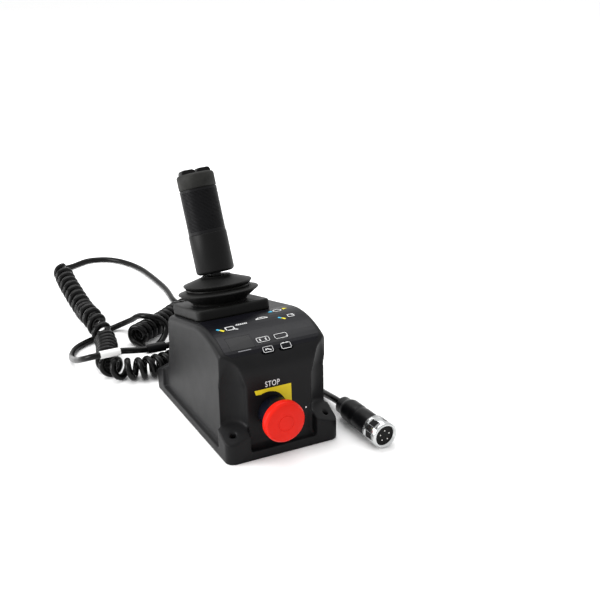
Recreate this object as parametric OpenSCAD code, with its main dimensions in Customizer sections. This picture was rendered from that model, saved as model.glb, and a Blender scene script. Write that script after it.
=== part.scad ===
// Scissor lift control box: a moulded housing with a sprung joystick, a mushroom stop button,
// a curved key panel and a curly cord that ends in a screw-on round plug.
// Origin: middle of the base flange's underside. +X right, +Y rear, +Z up; the stop button faces -Y.

/* [Housing] */
// Width of the base flange
flange_w = 115; // [110:1:124]
// Depth of the base flange
flange_d = 194; // [188:1:204]
// Height of the base flange
flange_h = 9; // [7:0.5:12]
// Corner radius of the base flange in plan
flange_r = 8; // [5:0.5:9]
// Ledge beside each side wall
side_ledge = 3.5; // [2.5:0.25:5]
// Ledge before the front wall and behind the rear wall
end_ledge = 9; // [7.5:0.5:10]
// Wall thickness of the housing
wall = 3; // [2.5:0.25:3.5]
// Rounding between the top and the side walls
edge_r = 5; // [4:0.5:7]
// Height of the sloping panel above the middle of the base
panel_z = 106.4; // [102:1:112]
// Slope of the panel, down to the rear
panel_slope = 13.5; // [11:0.5:15]
// Radius of the crown ahead of the panel
crown_r = 95; // [88:1:100]
// Distance of the crown's centre behind the front face
crown_back = 53.8; // [51:0.1:56]
// Radius of the brow above the front face
brow_r = 24; // [21:1:27]
// Lean of the rear wall
rear_lean = 12; // [8:0.5:13]
// Radius between the panel and the rear wall
rear_r = 10; // [8:0.5:12]

/* [Corner recesses] */
// Radius of each recess
scoop_r = 18.5; // [17.5:0.25:19.5]
// Distance of a recess's centre from the flange's edges
scoop_inset = 6; // [5:0.5:7]
// Height at which a recess starts to narrow
scoop_z = 70; // [64:1:76]
// Height at which the visor's straight edge is reached
visor_z = 98; // [92:1:102]
// Distance of the visor's edge from the recess's centre
visor_r = 11.2; // [10:0.2:12.4]
// Turn of the visor's edge in plan
visor_turn = 53; // [48:1:58]
// Height of the mounting pad under the recess's centre
pad_z = 23; // [20:0.5:26]
// Tilt of the mounting pad
pad_tilt = 30; // [20:1:32]
// Diameter of the mounting holes
bolt_d = 5.2; // [4.5:0.1:6.5]
// Distance of a mounting hole from the flange's edges
bolt_inset = 10; // [9:0.5:11]

/* [Base plate] */
// Thickness of the base plate
plate_t = 2.5; // [2:0.25:3]
// Thickness of the gasket
gasket_t = 1; // [0.8:0.1:1.5]
// Width of the gasket's seat
seat_lip = 3; // [2.5:0.25:3.5]
// Gap around pieces that are laid in
fit_gap = 0.2; // [0.1:0.05:0.3]
// Diameter of the base screws
base_screw_d = 4; // [3:0.5:4.5]
// Length of the base screws
base_screw_l = 14; // [10:1:18]
// Diameter of the base screws' heads
base_head_d = 7.6; // [7:0.2:8.4]
// Diameter of the screw bosses
boss_d = 10; // [9:0.5:11]
// Spacing of the base screws along the sides
base_screw_step = 50; // [44:1:54]

/* [Key panel] */
// Distance of the keys' frame behind the front face
keys_back = 16; // [14:0.5:18]
// Tilt of the keys' travel
keys_tilt = 28; // [25:0.5:31]
// Width of the two large keys
key_w = 15; // [13:0.5:16]
// Height of each key
key_h = 6.4; // [5.5:0.1:7.5]
// Spacing of the key columns
key_step_x = 18.2; // [17:0.1:19]
// Spacing of the key rows
key_step_y = 12; // [10.5:0.25:13]
// Distance of the keys' middle from the centre
keys_right = 2.5; // [1:0.5:4]
// Height of the keys above the overlay
key_proud = 0.15; // [0.1:0.05:0.4]
// Travel of the keys
key_travel = 0.5; // [0.3:0.05:0.6]
// Running gap round the keys
key_gap = 0.15; // [0.1:0.05:0.25]
// Thickness of the printed overlay
overlay_t = 0.4; // [0.3:0.05:0.6]
// Half width of the overlay
overlay_half = 48; // [44:0.5:48.5]
// Display window width
window_w = 24; // [20:0.5:25]
// Display window height
window_h = 17; // [14:0.5:18]
// Distance of the display window left of the centre
window_left = 28.5; // [28:0.25:30]
// Thickness of the display lens
lens_t = 2; // [1.5:0.1:2.2]
// Depth of the circuit board under the panel
board_depth = 13; // [12:0.5:14]
// Thickness of the circuit board
board_t = 1.6; // [1.2:0.1:2]

/* [Stop button] */
// Distance of the button left of the centre
stop_left = 7.1; // [5:0.1:9]
// Height of the button's axis
stop_z = 41.2; // [38:0.2:46]
// Diameter of the mushroom head
head_d = 40; // [34:1:44]
// Thickness of the mushroom head
head_t = 10; // [8:0.5:12]
// How far the head stands before the front face
head_proud = 28; // [27:0.5:32]
// Travel of the button
stop_travel = 4.4; // [3:0.2:4.6]
// Diameter of the collar
collar_d = 31.5; // [29:0.5:34]
// Length of the collar
collar_l = 12; // [10:0.5:12.5]
// Diameter of the threaded barrel
barrel_d = 22; // [20:0.5:23]
// Diameter of the button's stem
stem_d = 16; // [13:0.5:17]

/* [Joystick] */
// Distance of the joystick left of the centre
stick_left = 8; // [6:0.5:10]
// Distance of the joystick ahead of the rear wall's foot
stick_ahead = 61; // [59:0.5:63]
// Depth of the lever's pivot under the panel
pivot_depth = 18; // [17:0.5:20]
// Diameter of the lever's shaft
shaft_d = 10; // [8:0.5:11]
// Diameter of the pivot pin
pivot_d = 8; // [7:0.25:9]
// Running gap of the pivots, on the radius
run_gap = 0.05; // [0.03:0.01:0.08]
// Angle of the lever either way
lever_angle = 20; // [15:1:22]
// Width of the rubber base
base_w = 76; // [72:1:78]
// Height of the rubber base
base_h = 10.5; // [9:0.5:12]
// Diameter of the lower bellows disc
disc_low_d = 79.6; // [70:0.2:80]
// Diameter of the upper bellows disc
disc_up_d = 68; // [60:1:72]
// Height of the bellows above the panel
bellows_top = 37; // [35:0.5:39]

/* [Grip] */
// Height of the bend in the shaft above the panel
bend_h = 38; // [37:0.5:41]
// Bend of the grip to the rear
grip_back = 6.5; // [3:0.5:8]
// Bend of the grip to the left
grip_side = 2.4; // [0:0.2:4]
// Diameter of the lower part of the grip
grip_d = 38; // [35:0.5:39]
// Length of the lower part of the grip
grip_low_l = 40; // [36:1:44]
// Length of the ribbed sleeve
sleeve_l = 44; // [40:0.5:47]
// Diameter over the ribs
rib_d = 37.2; // [35.2:0.2:38.4]
// Depth of the ribs
rib_depth = 0.35; // [0.2:0.05:0.6]
// Number of ribs
rib_count = 30; // [24:1:34]
// Length of the cap
cap_l = 15.5; // [14:0.5:18]
// Angle of the thumb rocker either way
rocker_angle = 8; // [5:1:9]
// Angle of the enable trigger
trigger_angle = 8; // [5:1:9]

/* [Cord and plug] */
// Diameter of the cord
cord_d = 7; // [6:0.25:7]
// Mean diameter of the curls
curl_d = 18; // [17:0.25:18]
// Curls in the open stretch
curls_open = 14; // [12:1:14]
// Curls in the close stretch, the last one half open
curls_close = 45.5; // [42.5:1:45.5]
// Diameter of the plug's body
plug_d = 22.4; // [20:0.2:23]
// Length of the plug's moulded body
plug_l = 54; // [48:1:60]
// Diameter of the coupling nut
nut_d = 25.5; // [24:0.5:27]
// Length of the coupling nut
nut_l = 21; // [18:0.5:24]
// Diameter of the cord gland's thread
gland_d = 16; // [14:0.5:18]
// Distance of the gland left of the centre
gland_left = 5; // [3:0.5:8]
// Height of the gland on the rear wall
gland_z = 24; // [22:0.5:27]

/* [Hidden] */

$fn = 48;
// Overrun of every cut past the face that it opens
over = 0.5;
// Steps of the arcs in the housing's side outline, and of its long edges' rounding
crown_steps = 12;
brow_steps = 8;
rear_steps = 3;
edge_steps = 4;

black = [0.10, 0.10, 0.11];
rubber = [0.14, 0.14, 0.14];
steel = [0.72, 0.72, 0.74];
red = [0.93, 0.16, 0.11];
green = [0.10, 0.38, 0.22];
brass = [0.80, 0.65, 0.35];
white = [0.93, 0.93, 0.92];

// Side outline of the housing in (y, z). lean_dir leans an angle to the rear of vertical.
function lean_dir(a) = [sin(a), cos(a)];
body_half = flange_w / 2 - side_ledge;
end_y = flange_d / 2 - end_ledge;
crown_ahead = end_y - crown_back;
keys_ahead = end_y - keys_back;
stick_back = end_y - stick_ahead;
crown_c = [-crown_ahead,
    panel_z + crown_ahead * tan(panel_slope) - crown_r / cos(panel_slope)];
brow_y = brow_r - end_y;
brow_c = [brow_y, crown_c[1] + sqrt(pow(crown_r - brow_r, 2) - pow(brow_y - crown_c[0], 2))];
brow_a = atan2(crown_c[0] - brow_c[0], brow_c[1] - crown_c[1]);
panel_n = lean_dir(panel_slope);
rear_n = lean_dir(90 - rear_lean);
panel_k = panel_z * cos(panel_slope);
rear_k = end_y * cos(rear_lean) + flange_h * sin(rear_lean);
rear_det = panel_n[0] * rear_n[1] - panel_n[1] * rear_n[0];
rear_c = [((panel_k - rear_r) * rear_n[1] - (rear_k - rear_r) * panel_n[1]) / rear_det,
    (panel_n[0] * (rear_k - rear_r) - rear_n[0] * (panel_k - rear_r)) / rear_det];
function rear_wall_y(z, inset) = (rear_k - inset - z * sin(rear_lean)) / cos(rear_lean);
function arc(c, r, a0, a1, n) = [for (i = [0:n]) c + r * lean_dir(a0 + (a1 - a0) * i / n)];
// inset is measured inwards, so a negative one gives a skin outside the housing
function side_outline(inset, z0) = concat(
    [[inset - end_y, z0]],
    arc(brow_c, brow_r - inset, -90, -brow_a, brow_steps),
    arc(crown_c, crown_r - inset, -brow_a, panel_slope, crown_steps),
    arc(rear_c, rear_r - inset, panel_slope, 90 - rear_lean, rear_steps),
    [[rear_wall_y(z0, inset), z0]]);

module side_slab(inset, half, z0)
    rotate([90, 0, 90]) linear_extrude(2 * half, center = true) polygon(side_outline(inset, z0));

// The housing's whole form, with its long edges rounded, set in by inset
module body_form(inset, z0)
    hull() for (i = [0:edge_steps])
        let (a = 90 * i / edge_steps)
            side_slab(inset + edge_r * (1 - sin(a)), body_half - inset - edge_r * (1 - cos(a)), z0);

module round_rect(w, d, r) {
    square([w - 2 * r, d], center = true);
    square([w, d - 2 * r], center = true);
    for (x = [-1, 1]) for (y = [-1, 1])
        translate([x * (w / 2 - r), y * (d / 2 - r)]) circle(r);
}

// Corner recesses, pads and mounting holes
scoop_x = flange_w / 2 - scoop_inset;
scoop_y = flange_d / 2 - scoop_inset;
post_r = scoop_r + wall;
// A block's own radius stays just inside the recess
block_r = scoop_r - fit_gap;
pad_top = pad_z + scoop_r * tan(pad_tilt);
// Far enough to clear the housing in any direction
reach = panel_z + brow_r;

module each_corner()
    for (sx = [0, 1]) for (sy = [0, 1])
        mirror([sx, 0, 0]) mirror([0, sy, 0]) translate([scoop_x, scoop_y, 0])
            rotate([sy == 0 ? rear_lean : 0, 0, 0]) children();

module each_block()
    for (sx = [0, 1]) for (sy = [0, 1])
        mirror([sx, 0, 0]) mirror([0, sy, 0]) translate([scoop_x, scoop_y, 0]) children();

module above_pad()
    translate([0, 0, pad_z]) rotate([0, pad_tilt, visor_turn])
        translate([-reach, -reach, 0]) cube([2 * reach, 2 * reach, reach]);

module scoop_cut() {
    translate([0, 0, -over]) cylinder(r = scoop_r, h = scoop_z + over);
    translate([0, 0, scoop_z]) cylinder(r1 = scoop_r, r2 = visor_r, h = visor_z - scoop_z);
    translate([0, 0, scoop_z]) rotate([0, 0, visor_turn])
        translate([-visor_r, -reach, 0]) cube([visor_r + reach, 2 * reach, reach]);
}

module recesses()
    intersection() {
        each_corner() scoop_cut();
        each_block() above_pad();
    }

module corner_blocks()
    difference() {
        intersection() {
            linear_extrude(pad_top) round_rect(flange_w, flange_d, flange_r);
            each_block() cylinder(r = block_r, h = pad_top);
        }
        each_block() above_pad();
    }

// The front ledge runs up into the wall in a shallow cove
cove_share = 0.7;
cove_r = cove_share * end_ledge;
cove_steps = 6;
module front_cove()
    rotate([90, 0, 90]) linear_extrude(2 * scoop_x, center = true) polygon(concat(
        [[over - end_y, flange_h - over], [over - end_y, flange_h + cove_r]],
        arc([-end_y - cove_r, flange_h + cove_r], cove_r, 90, 180, cove_steps),
        [[-end_y - cove_r, flange_h - over]]));

module corner_posts()
    each_corner() translate([0, 0, -reach / 2]) cylinder(r = post_r, h = 2 * reach);

module mounting_holes()
    for (x = [-1, 1]) for (y = [-1, 1])
        translate([x * (flange_w / 2 - bolt_inset), y * (flange_d / 2 - bolt_inset), -over])
            cylinder(d = bolt_d, h = pad_top + 2 * over);

// Base plate, its gasket and its screws
cav_x = body_half - wall;
cav_y = end_y - wall;
rebate_h = plate_t + gasket_t;
plate_post_r = post_r - seat_lip + 2 * fit_gap;
screw_x = cav_x - boss_d / 2 + fit_gap * 2;
// Share of the base screws' diameter that their thread holes leave
thread_share = 0.98;
head_h = (base_head_d - base_screw_d) / 2;

module plate_outline(gap)
    difference() {
        square([2 * (cav_x + seat_lip - gap), 2 * (cav_y + seat_lip - gap)], center = true);
        for (x = [-1, 1]) for (y = [-1, 1])
            translate([x * scoop_x, y * scoop_y]) circle(plate_post_r + gap);
    }

module base_places()
    for (x = [-screw_x, screw_x]) for (i = [-1:1]) translate([x, i * base_screw_step, 0]) children();

module base_plate()
    color(steel) difference() {
        linear_extrude(plate_t) plate_outline(fit_gap);
        base_places() {
            translate([0, 0, -over]) cylinder(d = base_screw_d + fit_gap, h = plate_t + 2 * over);
            cylinder(d1 = base_head_d + fit_gap, d2 = base_screw_d + fit_gap, h = head_h);
        }
    }

module base_gasket()
    color(rubber) translate([0, 0, plate_t]) linear_extrude(gasket_t) difference() {
        plate_outline(fit_gap);
        difference() {
            square([2 * cav_x, 2 * cav_y], center = true);
            for (x = [-1, 1]) for (y = [-1, 1]) translate([x * scoop_x, y * scoop_y]) circle(post_r);
        }
    }

module base_plate_screws()
    color(steel) base_places() {
        cylinder(d1 = base_head_d, d2 = base_screw_d * thread_share, h = head_h);
        cylinder(d = base_screw_d * thread_share, h = base_screw_l);
    }

// Key panel: a frame whose z axis is the keys' travel, with its origin on the panel's skin
keys_a = asin((keys_ahead - crown_ahead) / crown_r);
keys_z = crown_c[1] + crown_r * cos(keys_a);
module keys_frame() translate([0, -keys_ahead, keys_z]) rotate([keys_tilt, 0, 0]) children();
key_gap_y = key_h - overlay_t;
key_row = [key_step_y / 2 - key_h / 3, -key_step_y / 2 - key_h / 3];
small_w = key_w - key_gap_y / 2;
// Centres and widths of the four keys in their frame
key_at = [[keys_right - key_step_x / 2, key_row[0], key_w], [keys_right + key_step_x / 2, key_row[0], key_w],
    [keys_right - key_step_x / 2, key_row[1], small_w], [keys_right + key_step_x / 2, key_row[1], small_w]];
board_n = -board_depth;
switch_w = 6;
switch_h = 4;
switch_cap = 1;
switch_cap_d = 3.4;
stem_n = board_n + switch_h + switch_cap + key_travel + key_gap;
key_bore = 2;
window_y = window_h / 3;
board_hole_d = 3;
screw_head_d = 5.4;
screw_head_h = 2;
screw_below = 5;
// Board edges and screw places in the keys' frame
board_x0 = -window_left - window_w / 2 - overlay_t * 5;
board_x1 = keys_right + key_step_x + key_w;
board_y1 = window_y + window_h / 2 + board_hole_d * 2;
board_y0 = key_row[0] - key_step_y / 2;
tab_x = key_step_x + key_w / 3;
tab_y = key_row[1] - key_h / 2 - board_hole_d;
boss_in = board_hole_d;
boss_r = board_hole_d;
board_screw_at = [[board_x0 + boss_in, board_y1 - boss_in], [board_x1 - boss_in, board_y1 - boss_in],
    [board_x1 - boss_in, board_y0 + boss_in], [keys_right - tab_x + boss_in, tab_y + boss_in / 2 + boss_r / 2]];

module key_prism(k, gap, n0)
    keys_frame() translate([key_at[k][0], key_at[k][1], n0]) linear_extrude(reach)
        round_rect(key_at[k][2] + 2 * gap, key_h + 2 * gap, key_h / 6);

module key(k)
    color(black) intersection() {
        key_prism(k, 0, stem_n);
        side_slab(-overlay_t - key_proud, body_half, 0);
    }
module key_1() key(0);
module key_2() key(1);
module key_3() key(2);
module key_4() key(3);

module window_prism(gap, n0)
    keys_frame() translate([-window_left, window_y, n0]) linear_extrude(reach)
        square([window_w + 2 * gap, window_h + 2 * gap], center = true);

overlay_front = end_y - brow_r / 3;
overlay_rear = stick_back - base_w / 2 * cos(panel_slope) - seat_lip;
module panel_overlay()
    color(black) difference() {
        intersection() {
            side_slab(-overlay_t, overlay_half, 0);
            translate([-overlay_half, -overlay_front, panel_z - 2 * brow_r])
                cube([2 * overlay_half, overlay_front + overlay_rear, 3 * brow_r]);
        }
        side_slab(0, overlay_half + over, -over);
        each_corner() translate([0, 0, scoop_z]) rotate([0, 0, visor_turn])
            translate([-visor_r - seat_lip, -reach, 0]) cube([visor_r + reach, 2 * reach, reach]);
        for (k = [0:3]) key_prism(k, key_gap, -board_depth);
        window_prism(fit_gap, -board_depth);
    }

module display_lens()
    color([0.05, 0.06, 0.07]) difference() {
        intersection() {
            window_prism(0, -board_depth);
            side_slab(-overlay_t, body_half, 0);
        }
        side_slab(lens_t, body_half + over, -over);
    }

module display_module()
    color(green) keys_frame() translate([-window_left, window_y, board_n])
        linear_extrude(board_depth - lens_t - wall)
            square([window_w - 2 * seat_lip, window_h - 2 * seat_lip], center = true);

module circuit_board()
    color(green) keys_frame() translate([0, 0, board_n - board_t]) difference() {
        linear_extrude(board_t) {
            translate([board_x0, board_y0]) square([board_x1 - board_x0, board_y1 - board_y0]);
            translate([keys_right - tab_x, tab_y]) square([2 * tab_x, board_y0 - tab_y + over]);
        }
        for (p = board_screw_at)
            translate([p[0], p[1], -over]) cylinder(d = board_hole_d + fit_gap, h = board_t + 2 * over);
    }

module board_bosses()
    keys_frame() for (p = board_screw_at)
        translate([p[0], p[1], board_n]) cylinder(r = boss_r, h = board_depth);

module board_screw_holes()
    keys_frame() for (p = board_screw_at)
        translate([p[0], p[1], board_n - over]) cylinder(d = board_hole_d, h = screw_below + over);

module board_screws()
    color(steel) keys_frame() for (p = board_screw_at) translate([p[0], p[1], board_n - board_t]) {
        translate([0, 0, -screw_head_h]) cylinder(d = screw_head_d, h = screw_head_h);
        cylinder(d = board_hole_d * thread_share, h = board_t + screw_below - over);
    }

module tact_switches()
    color([0.25, 0.25, 0.27]) keys_frame() for (k = key_at) translate([k[0], k[1], board_n]) {
        translate([-switch_w / 2, -switch_w / 2, 0]) cube([switch_w, switch_w, switch_h]);
        cylinder(d = switch_cap_d, h = switch_h + switch_cap);
    }

// Stop button: a frame whose z axis points out of the front face
module stop_frame() translate([-stop_left, -end_y, stop_z]) rotate([90, 0, 0]) children();
seal_t = 1;
barrel_in = 10;
locknut_t = 5;
locknut_d = 28;
adapter_l = 9;
neck_d = head_d * 0.6;
head_back = head_proud - head_t;
stem_in = wall + barrel_in - stop_travel;
contact_w = 10;
contact_h = 26;
contact_l = 26;

module ring(outer_d, inner_d, h)
    difference() {
        cylinder(d = outer_d, h = h);
        translate([0, 0, -over]) cylinder(d = inner_d, h = h + 2 * over);
    }

module stop_gasket() color(rubber) stop_frame() ring(collar_d - seal_t, barrel_d, seal_t);

module stop_collar()
    color(black) stop_frame() difference() {
        union() {
            translate([0, 0, seal_t]) cylinder(d1 = collar_d, d2 = collar_d - seal_t, h = collar_l);
            translate([0, 0, -wall - barrel_in]) cylinder(d = barrel_d, h = wall + barrel_in + seal_t);
        }
        translate([0, 0, -wall - barrel_in - over])
            cylinder(d = stem_d + 2 * run_gap, h = wall + barrel_in + collar_l + 2 * over + seal_t);
    }

module stop_locknut()
    color(steel) stop_frame() translate([0, 0, -wall - locknut_t]) difference() {
        cylinder(d = locknut_d, h = locknut_t, $fn = 6);
        translate([0, 0, -over]) cylinder(d = barrel_d, h = locknut_t + 2 * over);
    }

// The adapter grips the barrel's end and carries the contact blocks
module stop_adapter()
    color([0.85, 0.85, 0.82]) stop_frame() translate([0, 0, -wall - locknut_t - adapter_l]) difference() {
        translate([-locknut_d / 2, -locknut_d / 2, 0]) cube([locknut_d, locknut_d, adapter_l]);
        translate([0, 0, -over]) cylinder(d = barrel_d + fit_gap, h = adapter_l + 2 * over);
    }

module stop_contacts()
    color([0.75, 0.12, 0.10]) stop_frame()
        for (x = [-1, 1]) translate([x * (contact_w + fit_gap) / 2, 0, -wall - locknut_t - adapter_l - contact_l])
            translate([-contact_w / 2, -contact_h / 2, 0]) cube([contact_w, contact_h, contact_l]);

// Outline of the mushroom head as shares of its radius and thickness
head_shares = [[0, 0], [0.88, 0], [1, 0.14], [1, 0.62], [0.985, 0.75], [0.925, 0.93], [0.86, 0.97],
    [0.40, 0.97], [0.38, 0.93], [0.34, 0.93], [0.32, 0.97], [0, 1]];
module stop_head()
    color(red) stop_frame() difference() {
        translate([0, 0, head_back]) union() {
            rotate_extrude() polygon([for (p = head_shares) [p[0] * head_d / 2, p[1] * head_t]]);
            translate([0, 0, -over]) cylinder(d = neck_d, h = 2 * over);
        }
        translate([0, 0, head_back - 2 * over]) cylinder(d = stem_d + fit_gap / 4, h = head_t / 2);
    }

module stop_stem()
    color([0.30, 0.30, 0.32]) stop_frame() translate([0, 0, -stem_in])
        cylinder(d = stem_d, h = stem_in + head_back + head_t / 2 - 2 * over);

// Joystick: a frame on the panel's skin whose z axis is the panel's normal
stick_z = panel_z - stick_back * tan(panel_slope);
module stick_frame() translate([-stick_left, stick_back, stick_z]) rotate([-panel_slope, 0, 0]) children();
frame_t = 1.5;
frame_w = base_w - 8 * frame_t;
stick_screw_d = 4;
stick_screw_at = frame_w / 2 - 1.5 * stick_screw_d;
stick_hole_d = frame_w - 4 * stick_screw_d;
gimbal_wall = 5;
gimbal_in = stick_hole_d - stick_screw_d - 2 * gimbal_wall;
gimbal_deep = 38;
gimbal_y = gimbal_in + gimbal_wall;
gimbal_flange = frame_w;
gimbal_round = 10;
gimbal_flange_t = 5;
bush_t = 2;
bush_flange = 1.5;
hub_d = 2 * shaft_d - bush_t;
spring_t = 2.4;
hub_half = gimbal_in / 2 - bush_flange - spring_t - 2 * fit_gap;
socket_top = pivot_depth - wall;
shaft_foot = shaft_d / 2 + bush_t;
gimbal_half = gimbal_in / 2 + gimbal_wall;
sensor_gap = 1;
magnet_t = 2;
sensor_l = 7;
sensor_w = 18;

module stick_places()
    for (x = [-1, 1]) for (y = [-1, 1]) translate([x * stick_screw_at, y * stick_screw_at, 0]) children();
module pivot_x() translate([0, 0, -pivot_depth]) rotate([0, 90, 0]) children();

module joystick_body()
    color([0.20, 0.20, 0.22]) stick_frame() difference() {
        union() {
            translate([0, 0, -wall - gimbal_flange_t]) linear_extrude(gimbal_flange_t)
                round_rect(gimbal_flange, gimbal_flange, gimbal_round);
            translate([0, 0, -gimbal_deep]) linear_extrude(gimbal_deep - wall)
                square([2 * gimbal_half, gimbal_y + 2 * gimbal_wall], center = true);
        }
        translate([0, 0, -gimbal_deep - over]) linear_extrude(gimbal_deep + over)
            square([gimbal_in, gimbal_y], center = true);
        pivot_x() cylinder(d = pivot_d + 2 * bush_t, h = gimbal_flange, center = true);
        stick_places() translate([0, 0, -wall - gimbal_flange_t - over])
            cylinder(d = stick_screw_d, h = gimbal_flange_t + 2 * over);
    }

module joystick_screws()
    color(steel) stick_frame() stick_places() {
        translate([0, 0, frame_t]) cylinder(d = 2 * stick_screw_d - frame_t / 3, h = frame_t * 2);
        translate([0, 0, -wall - gimbal_flange_t])
            cylinder(d = stick_screw_d * thread_share, h = wall + gimbal_flange_t + 2 * frame_t);
    }

module pivot_bushes()
    color(brass) stick_frame() pivot_x() for (s = [0, 1]) mirror([0, 0, s])
        translate([0, 0, gimbal_in / 2 - bush_flange]) difference() {
            union() {
                cylinder(d = pivot_d + 4 * bush_t, h = bush_flange);
                cylinder(d = pivot_d + 2 * bush_t, h = gimbal_wall + bush_flange);
            }
            translate([0, 0, -over])
                cylinder(d = pivot_d + 2 * run_gap, h = gimbal_wall + bush_flange + 2 * over);
        }

module centring_springs()
    color(steel) stick_frame() pivot_x() for (s = [0, 1]) mirror([0, 0, s])
        translate([0, 0, gimbal_in / 2 - bush_flange - spring_t])
            ring(pivot_d + 4 * bush_t, pivot_d + bush_t / 2, spring_t);

module pivot_pin()
    color(steel) stick_frame() pivot_x() cylinder(d = pivot_d, h = 2 * gimbal_half, center = true);

module sensor_magnet()
    color([0.45, 0.45, 0.48]) stick_frame() pivot_x()
        translate([0, 0, gimbal_half]) cylinder(d = pivot_d, h = magnet_t);

module position_sensor()
    color([0.15, 0.15, 0.17]) stick_frame() pivot_x() translate([0, 0, gimbal_half]) difference() {
        linear_extrude(sensor_l) square([sensor_w, sensor_w], center = true);
        translate([0, 0, -over]) cylinder(d = pivot_d + 2 * sensor_gap, h = magnet_t + sensor_gap + over);
    }

module lever_yoke()
    color([0.55, 0.55, 0.57]) stick_frame() difference() {
        union() {
            pivot_x() cylinder(d = hub_d, h = 2 * hub_half, center = true);
            translate([0, 0, -pivot_depth]) cylinder(d = hub_d, h = socket_top);
        }
        pivot_x() cylinder(d = pivot_d, h = 2 * hub_half + 2 * over, center = true);
        translate([0, 0, -pivot_depth + shaft_foot]) cylinder(d = shaft_d, h = socket_top + over);
    }

module grip_frame() translate([0, 0, bend_h]) rotate([-grip_back, -grip_side, 0]) children();
grip_z0 = 1.2;
step_z = grip_z0 + grip_low_l;
sleeve_z1 = step_z + sleeve_l;
cap_z1 = sleeve_z1 + cap_l;
grip_wall = 4;
core_d = rib_d - 2 * grip_wall;
foot_t = 10;
foot_round = 3;
shaft_top = sleeve_z1 - foot_t;
boot_gap = 0.3;

module lever_shaft()
    color(steel) stick_frame() {
        translate([0, 0, -pivot_depth + shaft_foot])
            cylinder(d = shaft_d, h = bend_h + pivot_depth - shaft_foot);
        translate([0, 0, bend_h]) sphere(d = shaft_d);
        grip_frame() cylinder(d = shaft_d, h = shaft_top);
    }

module boot_frame()
    color(steel) stick_frame() difference() {
        linear_extrude(frame_t) square([frame_w, frame_w], center = true);
        translate([0, 0, -over]) cylinder(d = stick_hole_d, h = frame_t + 2 * over);
        stick_places() translate([0, 0, -over])
            cylinder(d = stick_screw_d + fit_gap, h = frame_t + 2 * over);
    }

base_round = 6;
base_draft = 1.5;
base_skin = 4;
boot_hole_d = 50;
module boot_base()
    color(rubber) stick_frame() difference() {
        hull() {
            linear_extrude(base_h - base_draft) round_rect(base_w, base_w, base_round, $fn = 32);
            linear_extrude(base_h) round_rect(base_w - 2 * base_draft, base_w - 2 * base_draft,
                base_round - base_draft, $fn = 32);
        }
        translate([0, 0, -over]) linear_extrude(base_h - base_skin + over)
            square([frame_w + fit_gap, frame_w + fit_gap], center = true);
        cylinder(d = boot_hole_d, h = base_h + over);
    }

// Outline of the bellows, outer skin from the foot up to the lip, as radii and heights
skin_t = 1.4;
disc_t = 1.6;
disc_low_h = base_h + 10.2;
groove_h = base_h + 14.5;
groove_d = 60;
disc_up_h = base_h + 18;
foot_d = 54;
lip_d = 29;
bellows_out = [[foot_d / 2, base_h], [foot_d / 2, base_h + disc_t], [disc_low_d / 2, disc_low_h],
    [disc_low_d / 2, disc_low_h + disc_t], [groove_d / 2, groove_h], [disc_up_d / 2, disc_up_h],
    [disc_up_d / 2, disc_up_h + disc_t], [lip_d / 2, bellows_top]];
bellows_in = [[shaft_d / 2 + boot_gap, bellows_top], [shaft_d / 2 + boot_gap, bellows_top - skin_t],
    [lip_d / 2 - skin_t, bellows_top - skin_t], [disc_up_d / 2 - 2 * skin_t, disc_up_h + disc_t / 2],
    [groove_d / 2 - 2 * skin_t, groove_h], [disc_low_d / 2 - 2 * skin_t, disc_low_h + disc_t / 2],
    [foot_d / 2 - skin_t, base_h + disc_t], [foot_d / 2 - skin_t, base_h]];
module boot_bellows()
    color(rubber) stick_frame() rotate_extrude() polygon(concat(bellows_out, bellows_in));

// Grip pieces, in the grip's own frame above the bend of the shaft
pin_d = 3;
spigot_l = 5;
module stick_grip() stick_frame() grip_frame() children();

module grip_lower()
    color(black) stick_grip() difference() {
        union() {
            rotate_extrude() polygon([[0, grip_z0], [grip_d / 2 - foot_round, grip_z0],
                [grip_d / 2 - foot_round / 3, grip_z0 + foot_round / 3], [grip_d / 2, grip_z0 + foot_round],
                [grip_d / 2, step_z - foot_round / 3], [grip_d / 2 - foot_round / 6, step_z], [0, step_z]]);
            cylinder(d = core_d, h = step_z + spigot_l);
        }
        translate([0, 0, -over]) cylinder(d = grip_d + over, h = grip_z0 + over);
        translate([0, 0, -over]) cylinder(d = shaft_d, h = step_z + spigot_l + 2 * over);
        translate([0, 0, grip_z0 + foot_t]) cylinder(d = core_d - 2 * grip_wall, h = step_z);
    }

rib_step = (sleeve_l - spigot_l) / rib_count;
rib_z0 = step_z + spigot_l / 2;
rib_points = [for (i = [0:rib_count - 1]) for (p = [[rib_d / 2, 0], [rib_d / 2, 0.5], [rib_d / 2 - rib_depth, 0.75]])
    [p[0], rib_z0 + (i + p[1]) * rib_step]];
trigger_w = 11;
trigger_z0 = step_z + 12;
trigger_z1 = sleeve_z1 - 5.5;
trigger_y = core_d / 2 + 2 * run_gap;
trigger_pin_y = core_d / 2 + pin_d / 2 - 2 * run_gap;
trigger_pin_z = trigger_z1 - pin_d;
trigger_out = rib_d / 2 + 5;
trigger_gap = 0.4;
slot_w = trigger_w + 2 * trigger_gap;
pin_half = slot_w / 2 + pin_d * 0.6;

module trigger_axis() translate([0, trigger_pin_y, trigger_pin_z]) rotate([0, 90, 0]) children();

module grip_sleeve()
    color(black) stick_grip() difference() {
        rotate_extrude() polygon(concat([[core_d / 2, step_z], [rib_d / 2, step_z]], rib_points,
            [[rib_d / 2, sleeve_z1 - spigot_l / 2], [rib_d / 2, sleeve_z1], [core_d / 2, sleeve_z1]]));
        translate([-slot_w / 2, 0, trigger_z0 - trigger_gap])
            cube([slot_w, rib_d, trigger_z1 - trigger_z0 + 2 * trigger_gap]);
        trigger_axis() cylinder(d = pin_d, h = 2 * pin_half, center = true);
    }

module trigger_pin()
    color(steel) stick_grip() trigger_axis() cylinder(d = pin_d, h = 2 * pin_half, center = true);

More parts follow.
